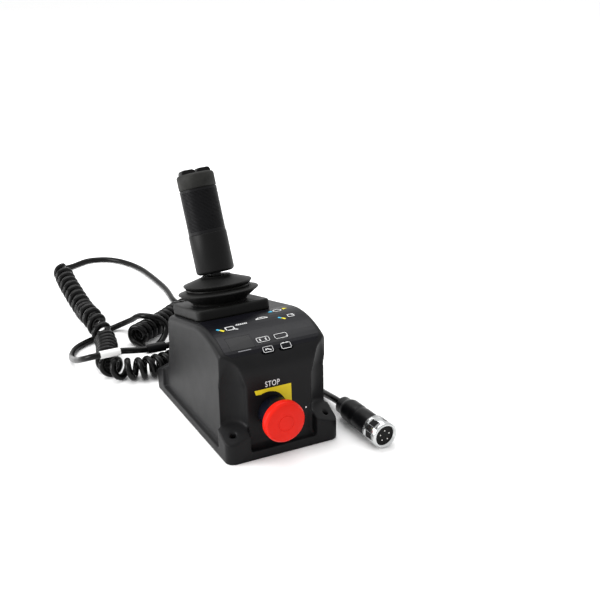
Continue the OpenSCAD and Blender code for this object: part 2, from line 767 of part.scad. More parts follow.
// The trigger swings in about its pin near the top, so its foot travels most
trigger_shares = [[0, 1], [0.55, 1], [0.85, 0.82], [0.70, 0.50], [1, 0.16], [0.90, 0.06], [0.20, 0], [0, 0]];
module enable_trigger()
    color([0.16, 0.16, 0.17]) stick_grip() difference() {
        translate([-trigger_w / 2, 0, 0]) rotate([90, 0, 90]) linear_extrude(trigger_w)
            polygon([for (p = trigger_shares) [trigger_y + p[0] * (trigger_out - trigger_y),
                trigger_z0 + p[1] * (trigger_z1 - trigger_z0)]]);
        trigger_axis() cylinder(d = pin_d + 2 * run_gap, h = trigger_w + 2 * over, center = true);
    }

trigger_swing = (trigger_pin_z - trigger_z0) * sin(trigger_angle);
micro_l = 14;
micro_w = 8;
module trigger_switch()
    color([0.20, 0.20, 0.22]) stick_grip()
        translate([-micro_w / 2, shaft_d / 2 + run_gap, trigger_z0 - trigger_gap])
            cube([micro_w, trigger_y - trigger_swing - shaft_d / 2 - 4 * run_gap, micro_l]);

// Cap with the thumb rocker
rocker_l = 31;
rocker_w = 12;
rocker_gap = 0.4;
cap_floor = 2.5;
rocker_z = sleeve_z1 + 10.5;
bump_r = 7.6;
bump_x = 7.7;
bump_z = rocker_z + 1.9;
switch_top = 2.6;
cap_shares = [[0, 0], [0.96, 0], [0.96, 0.06], [1, 0.08], [1, 0.84], [0.94, 0.96], [0.84, 1], [0, 1]];
module rocker_axis() translate([0, 0, rocker_z]) rotate([90, 0, 0]) children();

module grip_cap()
    color(black) stick_grip() difference() {
        rotate_extrude()
            polygon([for (p = cap_shares) [p[0] * rib_d / 2, sleeve_z1 + p[1] * cap_l]]);
        translate([-rocker_l / 2 - rocker_gap, -rocker_w / 2 - rocker_gap, sleeve_z1 + cap_floor])
            cube([rocker_l + 2 * rocker_gap, rocker_w + 2 * rocker_gap, cap_l]);
        rocker_axis() cylinder(d = pin_d, h = rocker_w + 2 * grip_wall, center = true);
    }

module rocker_pin()
    color(steel) stick_grip() rocker_axis() cylinder(d = pin_d, h = rocker_w + 2 * grip_wall, center = true);

module thumb_rocker()
    color([0.12, 0.12, 0.13]) stick_grip() difference() {
        rotate([90, 0, 0]) linear_extrude(rocker_w, center = true) intersection() {
            union() {
                for (x = [-bump_x, bump_x]) translate([x, bump_z]) circle(bump_r);
                translate([-rocker_l / 2 + pin_d / 2, rocker_z - pin_d]) square([rocker_l - pin_d, pin_d * 2]);
            }
            translate([-rocker_l / 2 + rocker_gap, rocker_z - pin_d]) square([rocker_l - 2 * rocker_gap, rocker_l]);
        }
        rocker_axis() cylinder(d = pin_d + 2 * run_gap, h = rocker_w + 2 * over, center = true);
    }

module rocker_switch()
    color([0.20, 0.20, 0.22]) stick_grip() for (x = [-1, 1])
        translate([x * rocker_l / 3 - micro_w / 2, -micro_w / 2, sleeve_z1 + cap_floor])
            cube([micro_w, micro_w, switch_top]);

// Cord gland on the rear wall: a frame whose z axis leaves the wall
module gland_frame() translate([-gland_left, rear_wall_y(gland_z, 0), gland_z])
    rotate([rear_lean - 90, 0, 0]) children();
gland_hex = 20;
gland_hex_t = 5;
gland_bore = 10;
gland_in = 8;
gland_nut_l = 15;
gland_nut_d = 19;
gland_end = gland_hex_t + gland_nut_l;

module gland_body()
    color(black) gland_frame() difference() {
        union() {
            cylinder(d = gland_hex, h = gland_hex_t, $fn = 6);
            translate([0, 0, -wall - gland_in]) cylinder(d = gland_d, h = wall + gland_in);
        }
        translate([0, 0, -wall - gland_in - over])
            cylinder(d = gland_bore, h = wall + gland_in + gland_hex_t + 2 * over);
    }

module gland_locknut()
    color(black) gland_frame() translate([0, 0, -wall - locknut_t]) difference() {
        cylinder(d = gland_hex, h = locknut_t, $fn = 6);
        translate([0, 0, -over]) cylinder(d = gland_d, h = locknut_t + 2 * over);
    }

module gland_nut()
    color(black) gland_frame() translate([0, 0, gland_hex_t]) difference() {
        rotate_extrude() polygon([[0, 0], [gland_nut_d / 2, 0], [gland_nut_d / 2, gland_nut_l * 0.6],
            [gland_nut_d / 2 - gland_hex_t / 3, gland_nut_l * 0.9], [gland_bore / 2 + seal_t, gland_nut_l],
            [0, gland_nut_l]]);
        translate([0, 0, -over]) cylinder(d = gland_bore, h = gland_nut_l + 2 * over);
    }

module cord_seal()
    color(rubber) gland_frame() translate([0, 0, gland_hex_t / 2])
        cylinder(d = gland_bore - 2 * run_gap, h = gland_end - gland_hex_t / 2);

// Plug at the cord's far end: a frame at its rear whose z axis points to its face
plug_at = [82.4, -59.4];
plug_turn = 3;
module plug_frame() translate([plug_at[0], plug_at[1], nut_d / 2]) rotate([90, 0, plug_turn]) children();
plug_back = [-sin(plug_turn), cos(plug_turn), 0];
insert_d = 15.6;
nose_d = 17.6;
nose_l = 9;
nut_bore = nose_d + 2 * run_gap;
nut_mouth = 20.6;
insert_z1 = plug_l + nut_l - 6;
pin_circle = 10;
plug_pin_d = 1.3;
plug_pin_l = 11;
// Grip slots round the nut, their place and length as shares of the nut's length
nut_slots = 6;
nut_slot_w = 6.5;
nut_slot_deep = 1.2;
nut_slot_share = 0.24;
nut_slot_l_share = 0.48;
relief_d = 11;
// Outline of the plug's moulded body as shares of its radius and length
plug_shares = [[0.45, 0], [0.60, 0.05], [0.90, 0.18], [0.99, 0.24], [1, 0.50], [0.96, 0.54], [0.96, 0.60], [1, 0.64],
    [1, 0.96], [0.96, 1]];

module connector_body()
    color(black) plug_frame() difference() {
        union() {
            rotate_extrude() polygon(concat([[0, 0]],
                [for (p = plug_shares) [p[0] * plug_d / 2, p[1] * plug_l]], [[0, plug_l]]));
            cylinder(d = nose_d, h = plug_l + nose_l);
        }
        translate([0, 0, plug_l - nose_l]) cylinder(d = insert_d + fit_gap / 4, h = 2 * nose_l + over);
        translate([0, 0, -over]) cylinder(d = relief_d * 2, h = over);
    }

module coupling_nut()
    color(steel) plug_frame() translate([0, 0, plug_l + fit_gap]) difference() {
        rotate_extrude() polygon([[0, 0], [nut_d / 2 - seal_t, 0], [nut_d / 2, seal_t], [nut_d / 2, nut_l - seal_t],
            [nut_d / 2 - seal_t, nut_l], [0, nut_l]]);
        for (i = [0:nut_slots - 1]) rotate([0, 0, 360 * i / nut_slots])
            translate([nut_d / 2 - nut_slot_deep, -nut_slot_w / 2, nut_l * nut_slot_share])
                cube([nut_d, nut_slot_w, nut_l * nut_slot_l_share]);
        translate([0, 0, -over]) cylinder(d = nut_bore, h = nose_l + over);
        translate([0, 0, nose_l - over]) cylinder(d = nut_mouth, h = nut_l);
    }

module connector_insert()
    color([0.06, 0.06, 0.06]) plug_frame() difference() {
        translate([0, 0, plug_l - nose_l]) cylinder(d = insert_d, h = insert_z1 - plug_l + nose_l);
        for (i = [0:4]) rotate([0, 0, 72 * i + 18]) translate([pin_circle / 2, 0, insert_z1 - plug_pin_l / 2])
            cylinder(d = plug_pin_d, h = plug_pin_l);
    }

module connector_pins()
    color(brass) plug_frame() for (i = [0:4]) rotate([0, 0, 72 * i + 18])
        translate([pin_circle / 2, 0, insert_z1 - plug_pin_l / 2]) cylinder(d = plug_pin_d, h = plug_pin_l - seal_t);

// Cord. Each route is chosen by hand; the curls wind about curl_axis by formula.
cord_z = 3.65;
curl_z = 12.65;
curl_axis = [[-60, 458, curl_z], [-64.5, 421.9, curl_z], [-67.6, 385.1, curl_z], [-70.2, 348, curl_z],
    [-72.5, 312.2, 13], [-75.4, 288.1, 17.5], [-76.8, 268.7, 21], [-77.2, 249.4, 21],
    [-77.1, 230.8, 17.5], [-78, 209.7, 13], [-82.5, 188.8, curl_z], [-89, 168, curl_z],
    [-94, 150, curl_z], [-91, 135, curl_z], [-82, 125, curl_z], [-69, 119.5, curl_z],
    [-54, 118.5, curl_z], [-33, 121, curl_z], [-8, 130, curl_z], [18, 145, curl_z], [42, 165, curl_z],
    [60, 189, curl_z], [69, 212, curl_z], [70, 234, curl_z], [61, 252, curl_z], [43, 260, curl_z],
    [25, 253, curl_z], [6, 238, curl_z], [-15, 224, curl_z], [-43, 207, curl_z]];
// Number of the axis point where the open stretch ends
open_end = 9;
// Share of the close curls that each later axis point has behind it
close_marks = [[9, 0], [10, 0.051], [11, 0.107], [12, 0.149], [13, 0.173], [14, 0.193], [15, 0.218],
    [16, 0.25], [17, 0.301], [18, 0.366], [19, 0.441], [20, 0.519], [21, 0.592], [22, 0.649],
    [23, 0.695], [24, 0.73], [25, 0.759], [26, 0.792], [27, 0.851], [28, 0.916], [29, 1]];
curl_in = [-52, 490, 6];
curl_in_dir = [-0.75, -0.62, 0.2];
curl_out = [-25, 187, cord_z];
curl_out_dir = [0.70, 0.70, 0];
lead_route = [[82, -42, 11.8], [82.5, -28, 9.3], [83.5, -12, 6.4], [85, 5, 4.4], [87, 24, cord_z],
    [89, 45, cord_z], [90, 65, cord_z], [90, 85, cord_z], [89, 105, cord_z], [87, 125, cord_z],
    [84, 145, cord_z], [81, 165, cord_z], [77, 184, cord_z], [82, 203, cord_z], [87, 222, cord_z],
    [89, 242, cord_z], [86, 259, cord_z], [79, 273, cord_z], [68, 283, cord_z], [56, 288, cord_z],
    [47, 293, cord_z], [42.5, 302, cord_z], [42, 315, cord_z], [44, 330, cord_z], [46, 345, cord_z],
    [47, 360, cord_z], [47, 380, cord_z], [46.5, 400, cord_z], [45.5, 420, cord_z], [44, 438, cord_z],
    [40.5, 456, cord_z], [35, 473, cord_z], [27, 489, cord_z], [16, 502, cord_z], [3, 509, cord_z],
    [-11, 511, cord_z], [-24, 506, cord_z], [-35, 500, cord_z], [-44, 495.5, 4.5]];
loop_route = [[-14.5, 196.5, 6], [-8, 202, 12], [-6.5, 205.5, 19], [-12, 208, 26], [-20, 211, 29.5],
    [-28, 217, 30.2], [-32, 228.5, 26.4], [-35, 241, 18.5], [-39, 253, 11.5], [-47, 260, 6],
    [-58, 259, 3.8], [-70, 251, cord_z], [-83, 241, cord_z], [-96, 234, cord_z], [-108, 225, cord_z],
    [-116, 213, cord_z], [-120.5, 199, 5], [-122.5, 183, 9.5], [-123.2, 168, 15], [-122.6, 158, 19],
    [-121.5, 150, 22.8], [-119, 143, 26], [-114, 137.5, 28.8], [-106.5, 135, 30], [-95, 135, 30],
    [-83, 135, 30], [-69, 133.6, 28.4], [-56, 132.23, 27.2], [-44, 131.5, 27.2], [-32, 130.77, 27.2],
    [-21, 127.6, 29.4], [-12, 122.2, 30.2], [-7, 115.5, 30]];
sleeve_at = [-44, 131.5, 27.2];
sleeve_len = 20;
label_at = [-94.5, 135, 30];
label_len = 22;
cord_sides = 8;
curl_sides = 6;
curl_rings = 8;
blend_rings = 5;

gland_out = [0, cos(rear_lean), sin(rear_lean)];
gland_mouth = [-gland_left, rear_wall_y(gland_z, 0), gland_z] + gland_end * gland_out;
plug_rear = [plug_at[0], plug_at[1], nut_d / 2];
unit_in = curl_in_dir / norm(curl_in_dir);
unit_out = curl_out_dir / norm(curl_out_dir);

// A smooth line through the points, with steps pieces in each span
function past(p, i) = i < 0 ? 2 * p[0] - p[1] :
    i >= len(p) ? 2 * p[len(p) - 1] - p[len(p) - 2] : p[i];
function span(a, b, c, d, t) = 0.5 * (2 * b + (c - a) * t + (2 * a - 5 * b + 4 * c - d) * t * t
    + (3 * b - a - 3 * c + d) * t * t * t);
function smooth_line(p, steps) = concat(
    [for (i = [0:len(p) - 2]) for (j = [0:steps - 1])
        span(past(p, i - 1), p[i], p[i + 1], past(p, i + 2), j / steps)], [p[len(p) - 1]]);
function running(p) = [for (i = 0, s = 0; i < len(p); s = s + (i < len(p) - 1 ? norm(p[i + 1] - p[i]) : 0),
    i = i + 1) s];
function blend_line(p, u, q, v, pull, n) = [for (i = [1:n]) let (t = i / (n + 1))
    pow(1 - t, 3) * p + 3 * t * pow(1 - t, 2) * (p + pull * u) + 3 * t * t * (1 - t) * (q - pull * v)
    + pow(t, 3) * q];

axis_steps = 5;
axis_line = smooth_line(curl_axis, axis_steps);
axis_run = running(axis_line);
axis_len = axis_run[len(axis_run) - 1];
open_len = axis_run[open_end * axis_steps];
axis_rows = [for (k = [0:2]) [for (i = [0:len(axis_run) - 1]) [axis_run[i], axis_line[i][k]]]];
function axis_at(s) = [for (k = [0:2]) lookup(s, axis_rows[k])];
function axis_dir(s) = let (d = axis_at(min(s + cord_d / 2, axis_len)) - axis_at(max(s - cord_d / 2, 0)))
    d / norm(d);
curls_all = curls_open + curls_close;
run_rows = concat([[0, 0]], [for (m = close_marks) [curls_open + m[1] * curls_close, axis_run[m[0] * axis_steps]]]);
function curl_run(turn) = lookup(turn, run_rows);
function curl_point(turn) = let (s = curl_run(turn), t = axis_dir(s), side = cross([0, 0, 1], t),
    n = side / norm(side), u = cross(t, n), a = 180 + 360 * turn)
    axis_at(s) + curl_d / 2 * (sin(a) * n - cos(a) * u);
helix = [for (i = [0:curls_all * curl_rings]) curl_point(i / curl_rings)];
helix_n = len(helix);
function way(a, b) = (b - a) / norm(b - a);
function level_way(a, b) = way([a[0], a[1], 0], [b[0], b[1], 0]);
curl_line = concat([curl_in, curl_in + cord_d * unit_in],
    blend_line(curl_in + cord_d * unit_in, unit_in, helix[0], level_way(helix[0], helix[1]), curl_d / 2, blend_rings),
    helix,
    blend_line(helix[helix_n - 1], level_way(helix[helix_n - 2], helix[helix_n - 1]),
        curl_out - cord_d * unit_out, unit_out, curl_d * 0.8, blend_rings),
    [curl_out - cord_d * unit_out, curl_out]);
lead_line = concat([plug_rear, plug_rear + cord_d * plug_back], lead_route, [curl_in - cord_d * unit_in, curl_in]);
loop_line = concat([curl_out, curl_out + cord_d * unit_out], loop_route,
    [gland_mouth + cord_d * gland_out, gland_mouth]);

// A tube of one unbroken skin along a line, its rings carried along without twist
function line_dir(p, i) = i == 0 ? way(p[0], p[1]) : i == len(p) - 1 ? way(p[i - 1], p[i]) :
    let (d = way(p[i - 1], p[i]) + way(p[i], p[i + 1])) d / norm(d);
function carried(v, t) = let (w = v - (v * t) * t) w / norm(w);
function ring_sides(p) = [for (i = 0, v = carried([0.3, 0.2, 1], line_dir(p, 0)); i < len(p);
    i = i + 1, v = i < len(p) ? carried(v, line_dir(p, i)) : v) v];
module tube(p, r, sides) {
    n = len(p);
    side = ring_sides(p);
    rings = [for (i = [0:n - 1]) let (t = line_dir(p, i), w = cross(t, side[i])) for (k = [0:sides - 1])
        p[i] + r * (cos(360 * k / sides) * side[i] + sin(360 * k / sides) * w)];
    skin = [for (i = [0:n - 2]) for (k = [0:sides - 1]) let (a = i * sides + k, b = i * sides + (k + 1) % sides)
        for (f = [[a, a + sides, b], [b, a + sides, b + sides]]) f];
    cap_0 = [for (k = [1:sides - 2]) [0, k, k + 1]];
    cap_1 = [for (k = [1:sides - 2]) [(n - 1) * sides, (n - 1) * sides + k + 1, (n - 1) * sides + k]];
    polyhedron(concat(rings, [[0, 0, 0]]), concat(skin, cap_0, cap_1));
}

// Least gap between the curls, measured on points along the cord's middle
gap_skip = curl_rings / 2 + 1;
curl_gap = min([for (i = [0:helix_n - 1 - gap_skip]) for (j = [i + gap_skip:min(i + 2 * curl_rings, helix_n - 1)])
    norm(helix[i] - helix[j])]) - cord_d;
far_gap = min([for (i = [0:3:helix_n - 1]) for (p = concat(loop_route, lead_route)) norm(helix[i] - p)]) - cord_d;
function line_len(p) = let (s = running(p)) s[len(s) - 1];
echo(least_gap_between_curls = curl_gap, least_gap_to_the_straight_cord = far_gap);
echo(cord_length = line_len(lead_line) + line_len(curl_line) + line_len(loop_line), lead = line_len(lead_line),
    curls = line_len(curl_line), loop = line_len(loop_line), axis = axis_len, open = open_len);

module cord_curls() color(black) tube(curl_line, cord_d / 2, curl_sides);
module cord_loop() color(black) tube(loop_line, cord_d / 2, cord_sides);
module cord_lead() color(black) tube(lead_line, cord_d / 2, cord_sides);

// Sleeves on the cord lie along X, with a slight turn that follows the cord
cord_skin = 1.5;
sleeve_turn = 3.5;
module along_cord(at, l, turn, wall_t)
    translate(at) rotate([0, -90, turn]) translate([0, 0, -l / 2])
        ring(cord_d + 2 * wall_t, cord_d + 2 * run_gap, l);
module cord_sleeve() color(rubber) along_cord(sleeve_at, sleeve_len, -sleeve_turn, cord_skin + fit_gap);
module label_sleeve() color(white) along_cord(label_at, label_len, 0, cord_skin / 2);

module screw_bosses()
    base_places() translate([0, 0, rebate_h]) cylinder(d = boss_d, h = base_screw_l + wall);
module screw_boss_holes()
    base_places() translate([0, 0, -over]) cylinder(d = base_screw_d, h = base_screw_l + over + seal_t);

module housing_shell()
    color(black) difference() {
        union() {
            difference() {
                union() {
                    linear_extrude(flange_h) round_rect(flange_w, flange_d, flange_r);
                    body_form(0, 0);
                    corner_blocks();
                    front_cove();
                }
                recesses();
                difference() {
                    body_form(wall, -over);
                    corner_posts();
                }
            }
            intersection() {
                side_slab(wall / 2, cav_x + wall / 2, rebate_h);
                union() {
                    board_bosses();
                    screw_bosses();
                }
            }
        }
        translate([0, 0, -over]) linear_extrude(rebate_h + over) plate_outline(0);
        screw_boss_holes();
        board_screw_holes();
        mounting_holes();
        for (k = [0:3]) key_prism(k, key_gap, -board_depth + switch_h);
        window_prism(-seat_lip / 2, -board_depth + switch_h);
        difference() {
            window_prism(fit_gap, -board_depth + switch_h);
            side_slab(lens_t, body_half, 0);
        }
        stop_frame() translate([0, 0, -wall - over]) cylinder(d = barrel_d + fit_gap, h = wall + 2 * over);
        stick_frame() {
            translate([0, 0, -2 * wall]) cylinder(d = stick_hole_d, h = 3 * wall);
            stick_places() translate([0, 0, -2 * wall]) cylinder(d = stick_screw_d + fit_gap, h = 3 * wall);
        }
        gland_frame() translate([0, 0, -wall - over]) cylinder(d = gland_d + fit_gap, h = wall + 2 * over);
    }

housing_shell();
panel_overlay();
base_plate();
base_gasket();
base_plate_screws();
display_lens();
display_module();
circuit_board();
board_screws();
tact_switches();
key_1();
key_2();
key_3();
key_4();
stop_collar();
stop_gasket();
stop_locknut();
stop_adapter();
stop_contacts();
stop_head();
stop_stem();
joystick_body();
joystick_screws();
pivot_bushes();
centring_springs();
position_sensor();
sensor_magnet();
pivot_pin();
lever_yoke();
lever_shaft();
boot_frame();
boot_base();
boot_bellows();
grip_lower();
grip_sleeve();
grip_cap();
thumb_rocker();
rocker_pin();
rocker_switch();
enable_trigger();
trigger_pin();
trigger_switch();
gland_body();
gland_locknut();
gland_nut();
cord_seal();
cord_curls();
cord_loop();
cord_lead();
cord_sleeve();
label_sleeve();
connector_body();
coupling_nut();
connector_insert();
connector_pins();
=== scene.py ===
import math

import bmesh
import bpy
from mathutils import Matrix, Vector


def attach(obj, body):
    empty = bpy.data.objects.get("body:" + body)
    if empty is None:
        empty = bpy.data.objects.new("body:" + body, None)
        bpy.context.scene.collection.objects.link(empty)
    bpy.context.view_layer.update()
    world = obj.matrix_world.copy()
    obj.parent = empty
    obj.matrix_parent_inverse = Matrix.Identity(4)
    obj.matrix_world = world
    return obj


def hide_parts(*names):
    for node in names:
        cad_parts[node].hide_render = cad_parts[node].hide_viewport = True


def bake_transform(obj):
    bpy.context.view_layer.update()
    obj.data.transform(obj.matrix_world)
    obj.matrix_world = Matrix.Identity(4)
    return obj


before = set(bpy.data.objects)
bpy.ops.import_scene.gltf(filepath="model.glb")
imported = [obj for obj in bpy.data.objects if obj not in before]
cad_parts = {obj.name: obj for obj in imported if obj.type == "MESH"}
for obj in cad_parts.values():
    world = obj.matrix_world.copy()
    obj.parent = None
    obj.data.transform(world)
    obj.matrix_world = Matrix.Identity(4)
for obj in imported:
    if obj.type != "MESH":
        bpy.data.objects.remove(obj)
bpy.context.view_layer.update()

# Camera: stands where the photograph was taken, in front of the box and to its left,
# looking down on the panel. The lens is a 65 mm one on a 36 mm sensor.
eye = Vector((-0.3797, -0.9016, 0.5050))
look = Vector((0.4121, 0.8335, -0.3679))
camera_roll = math.radians(-1.0)
lens = bpy.data.cameras.new("camera")
lens.lens = 65.0
lens.sensor_width = 36.0
lens.clip_start = 0.02


def placed(name, data):
    """A new object in the scene."""
    made = bpy.data.objects.new(name, data)
    bpy.context.scene.collection.objects.link(made)
    return made


camera = placed("camera", lens)
camera.matrix_world = (Matrix.Translation(eye) @ look.to_track_quat("-Z", "Y").to_matrix().to_4x4()
                       @ Matrix.Rotation(camera_roll, 4, "Z"))
bpy.context.scene.camera = camera

# Cord: one 7 mm rubber cord from the gland in the rear wall to the round plug. It loops on the
# floor, turns into a long curly stretch that doubles back behind the box, and runs on to the plug.
cord_d = 0.007
floor_z = 0.00365
curl_z = 0.01265
curl_r = 0.009
curls_open = 14
curls_close = 45.5
points_per_curl = 12
curl_axis = [(-0.06, 0.458, curl_z), (-0.0645, 0.4219, curl_z), (-0.0676, 0.3851, curl_z),
             (-0.0702, 0.348, curl_z), (-0.0725, 0.3122, 0.013), (-0.0754, 0.2881, 0.0175),
             (-0.0768, 0.2687, 0.021), (-0.0772, 0.2494, 0.021), (-0.0771, 0.2308, 0.0175),
             (-0.078, 0.2097, 0.013), (-0.0825, 0.1888, curl_z), (-0.089, 0.168, curl_z),
             (-0.094, 0.15, curl_z), (-0.091, 0.135, curl_z), (-0.082, 0.125, curl_z),
             (-0.069, 0.1195, curl_z), (-0.054, 0.1185, curl_z), (-0.033, 0.121, curl_z),
             (-0.008, 0.13, curl_z), (0.018, 0.145, curl_z), (0.042, 0.165, curl_z),
             (0.06, 0.189, curl_z), (0.069, 0.212, curl_z), (0.07, 0.234, curl_z),
             (0.061, 0.252, curl_z), (0.043, 0.26, curl_z), (0.025, 0.253, curl_z),
             (0.006, 0.238, curl_z), (-0.015, 0.224, curl_z), (-0.043, 0.207, curl_z)]
# Each pair is a point of the axis and the share of the close curls that is wound before it.
close_marks = [(9, 0), (10, 0.051), (11, 0.107), (12, 0.149), (13, 0.173), (14, 0.193), (15, 0.218),
               (16, 0.25), (17, 0.301), (18, 0.366), (19, 0.441), (20, 0.519), (21, 0.592),
               (22, 0.649), (23, 0.695), (24, 0.73), (25, 0.759), (26, 0.792), (27, 0.851),
               (28, 0.916), (29, 1)]
curl_in = Vector((-0.052, 0.490, 0.006))
curl_in_way = Vector((-0.75, -0.62, 0.2)).normalized()
curl_out = Vector((-0.025, 0.187, floor_z))
curl_out_way = Vector((0.70, 0.70, 0)).normalized()
lead_route = [(0.082, -0.042, 0.0118), (0.0825, -0.028, 0.0093), (0.0835, -0.012, 0.0064),
              (0.085, 0.005, 0.0044), (0.087, 0.024, floor_z), (0.089, 0.045, floor_z),
              (0.09, 0.065, floor_z), (0.09, 0.085, floor_z), (0.089, 0.105, floor_z),
              (0.087, 0.125, floor_z), (0.084, 0.145, floor_z), (0.081, 0.165, floor_z),
              (0.077, 0.184, floor_z), (0.082, 0.203, floor_z), (0.087, 0.222, floor_z),
              (0.089, 0.242, floor_z), (0.086, 0.259, floor_z), (0.079, 0.273, floor_z),
              (0.068, 0.283, floor_z), (0.056, 0.288, floor_z), (0.047, 0.293, floor_z),
              (0.0425, 0.302, floor_z), (0.042, 0.315, floor_z), (0.044, 0.33, floor_z),
              (0.046, 0.345, floor_z), (0.047, 0.36, floor_z), (0.047, 0.38, floor_z),
              (0.0465, 0.4, floor_z), (0.0455, 0.42, floor_z), (0.044, 0.438, floor_z),
              (0.0405, 0.456, floor_z), (0.035, 0.473, floor_z), (0.027, 0.489, floor_z),
              (0.016, 0.502, floor_z), (0.003, 0.509, floor_z), (-0.011, 0.511, floor_z),
              (-0.024, 0.506, floor_z), (-0.035, 0.5, floor_z), (-0.044, 0.4955, 0.0045)]
loop_route = [(-0.0145, 0.1965, 0.006), (-0.008, 0.202, 0.012), (-0.0065, 0.2055, 0.019),
              (-0.012, 0.208, 0.026), (-0.02, 0.211, 0.0295), (-0.028, 0.217, 0.0302),
              (-0.032, 0.2285, 0.0264), (-0.035, 0.241, 0.0185), (-0.039, 0.253, 0.0115),
              (-0.047, 0.26, 0.006), (-0.058, 0.259, 0.0038), (-0.07, 0.251, floor_z),
              (-0.083, 0.241, floor_z), (-0.096, 0.234, floor_z), (-0.108, 0.225, floor_z),
              (-0.116, 0.213, floor_z), (-0.1205, 0.199, 0.005), (-0.1225, 0.183, 0.0095),
              (-0.1232, 0.168, 0.015), (-0.1226, 0.158, 0.019), (-0.1215, 0.15, 0.0228),
              (-0.119, 0.143, 0.026), (-0.114, 0.1375, 0.0288), (-0.1065, 0.135, 0.03),
              (-0.095, 0.135, 0.03), (-0.083, 0.135, 0.03), (-0.069, 0.1336, 0.0284),
              (-0.056, 0.13223, 0.0272), (-0.044, 0.1315, 0.0272), (-0.032, 0.13077, 0.0272),
              (-0.021, 0.1276, 0.0294), (-0.012, 0.1222, 0.0302), (-0.007, 0.1155, 0.03)]
rear_lean = math.radians(12)
gland_way = Vector((0, math.cos(rear_lean), math.sin(rear_lean)))
gland_root = Vector((-0.005, 0.0848114, 0.024))
gland_reach = 0.020
gland_mouth = gland_root + gland_reach * gland_way
plug_turn = math.radians(3)
plug_rear = Vector((0.0824, -0.0594, 0.01275))
plug_back = Vector((-math.sin(plug_turn), math.cos(plug_turn), 0))


def between(points, index):
    """The route's point at a place before, in or past its ends."""
    if index < 0:
        return 2 * points[0] - points[1]
    if index >= len(points):
        return 2 * points[-1] - points[-2]
    return points[index]


def smooth_line(points, steps):
    """A smooth line through the points, in short steps."""
    points = [Vector(p) for p in points]
    line = []
    for i in range(len(points) - 1):
        a, b, c, d = (between(points, i + k) for k in (-1, 0, 1, 2))
        for j in range(steps):
            t = j / steps
            line.append(0.5 * (2 * b + (c - a) * t + (2 * a - 5 * b + 4 * c - d) * t * t
                               + (3 * b - a - 3 * c + d) * t ** 3))
    return line + [points[-1]]


def lengths_along(line):
    """The length from the line's start to each of its points."""
    runs = [0.0]
    for a, b in zip(line, line[1:]):
        runs.append(runs[-1] + (b - a).length)
    return runs


def point_along(line, runs, s):
    """The point at length s along a line."""
    s = min(max(s, 0.0), runs[-1])
    i = max(k for k in range(len(runs) - 1) if runs[k] <= s)
    return line[i].lerp(line[i + 1], (s - runs[i]) / (runs[i + 1] - runs[i]))


def bridge(start, start_way, end, end_way, pull, count):
    """Points of a smooth bend between two ends, without the ends themselves."""
    points = []
    for i in range(1, count + 1):
        t = i / (count + 1)
        points.append((1 - t) ** 3 * start + 3 * t * (1 - t) ** 2 * (start + pull * start_way)
                      + 3 * t * t * (1 - t) * (end - pull * end_way) + t ** 3 * end)
    return points


axis_steps = 5
axis_line = smooth_line(curl_axis, axis_steps)
axis_runs = lengths_along(axis_line)
curl_count = curls_open + curls_close
run_turns = [0.0] + [curls_open + share * curls_close for index, share in close_marks]
run_lengths = [0.0] + [axis_runs[index * axis_steps] for index, share in close_marks]
helix = []
for i in range(round(curl_count * points_per_curl) + 1):
    turn = i / points_per_curl
    part = max(k for k in range(len(run_turns) - 1) if run_turns[k] <= turn)
    share = (turn - run_turns[part]) / (run_turns[part + 1] - run_turns[part])
    run = run_lengths[part] + share * (run_lengths[part + 1] - run_lengths[part])
    ahead = point_along(axis_line, axis_runs, run + cord_d / 2)
    behind = point_along(axis_line, axis_runs, run - cord_d / 2)
    way = (ahead - behind).normalized()
    side = Vector((0, 0, 1)).cross(way).normalized()
    up = way.cross(side)
    angle = math.pi + 2 * math.pi * turn
    centre = point_along(axis_line, axis_runs, run)
    helix.append(centre + curl_r * (math.sin(angle) * side - math.cos(angle) * up))
level = Vector((1, 1, 0))
enter_way = ((helix[1] - helix[0]) * level).normalized()
leave_way = ((helix[-1] - helix[-2]) * level).normalized()
bend_points = 2
leave_pull = 1.6 * curl_r
lead_in = bridge(curl_in + cord_d * curl_in_way, curl_in_way, helix[0], enter_way, curl_r, bend_points)
lead_out = bridge(helix[-1], leave_way, curl_out - cord_d * curl_out_way, curl_out_way, leave_pull,
                  bend_points)
cord_points = ([plug_rear, plug_rear + cord_d * plug_back] + [Vector(p) for p in lead_route]
               + [curl_in, curl_in + cord_d * curl_in_way] + lead_in + helix + lead_out
               + [curl_out - cord_d * curl_out_way, curl_out] + [Vector(p) for p in loop_route]
               + [gland_mouth + cord_d * gland_way, gland_mouth])
cord_points.reverse()


def bezier_through(name, points, thickness):
    """A round cord on one smooth curve through the points."""
    curve = bpy.data.curves.new(name, "CURVE")
    curve.dimensions = "3D"
    curve.bevel_depth = thickness / 2
    curve.bevel_resolution = 5
    curve.resolution_u = 4
    curve.use_fill_caps = True
    spline = curve.splines.new("BEZIER")
    spline.bezier_points.add(len(points) - 1)
    for knot, point in zip(spline.bezier_points, points):
        knot.co = point
        knot.handle_left_type = "AUTO"
        knot.handle_right_type = "AUTO"
    return placed(name, curve)


class Wire:
    """A node's output, which can be used in sums."""

    def __init__(self, finish, socket):
        self.finish = finish
        self.socket = socket

    def math(self, operation, a, b):
        return self.finish.node("Math", {"operation": operation}, {0: a, 1: b})

    def __add__(self, other):
        return self.math("ADD", self, other)

    def __radd__(self, other):
        return self.math("ADD", other, self)

    def __mul__(self, other):
        return self.math("MULTIPLY", self, other)

    def __rmul__(self, other):
        return self.math("MULTIPLY", other, self)


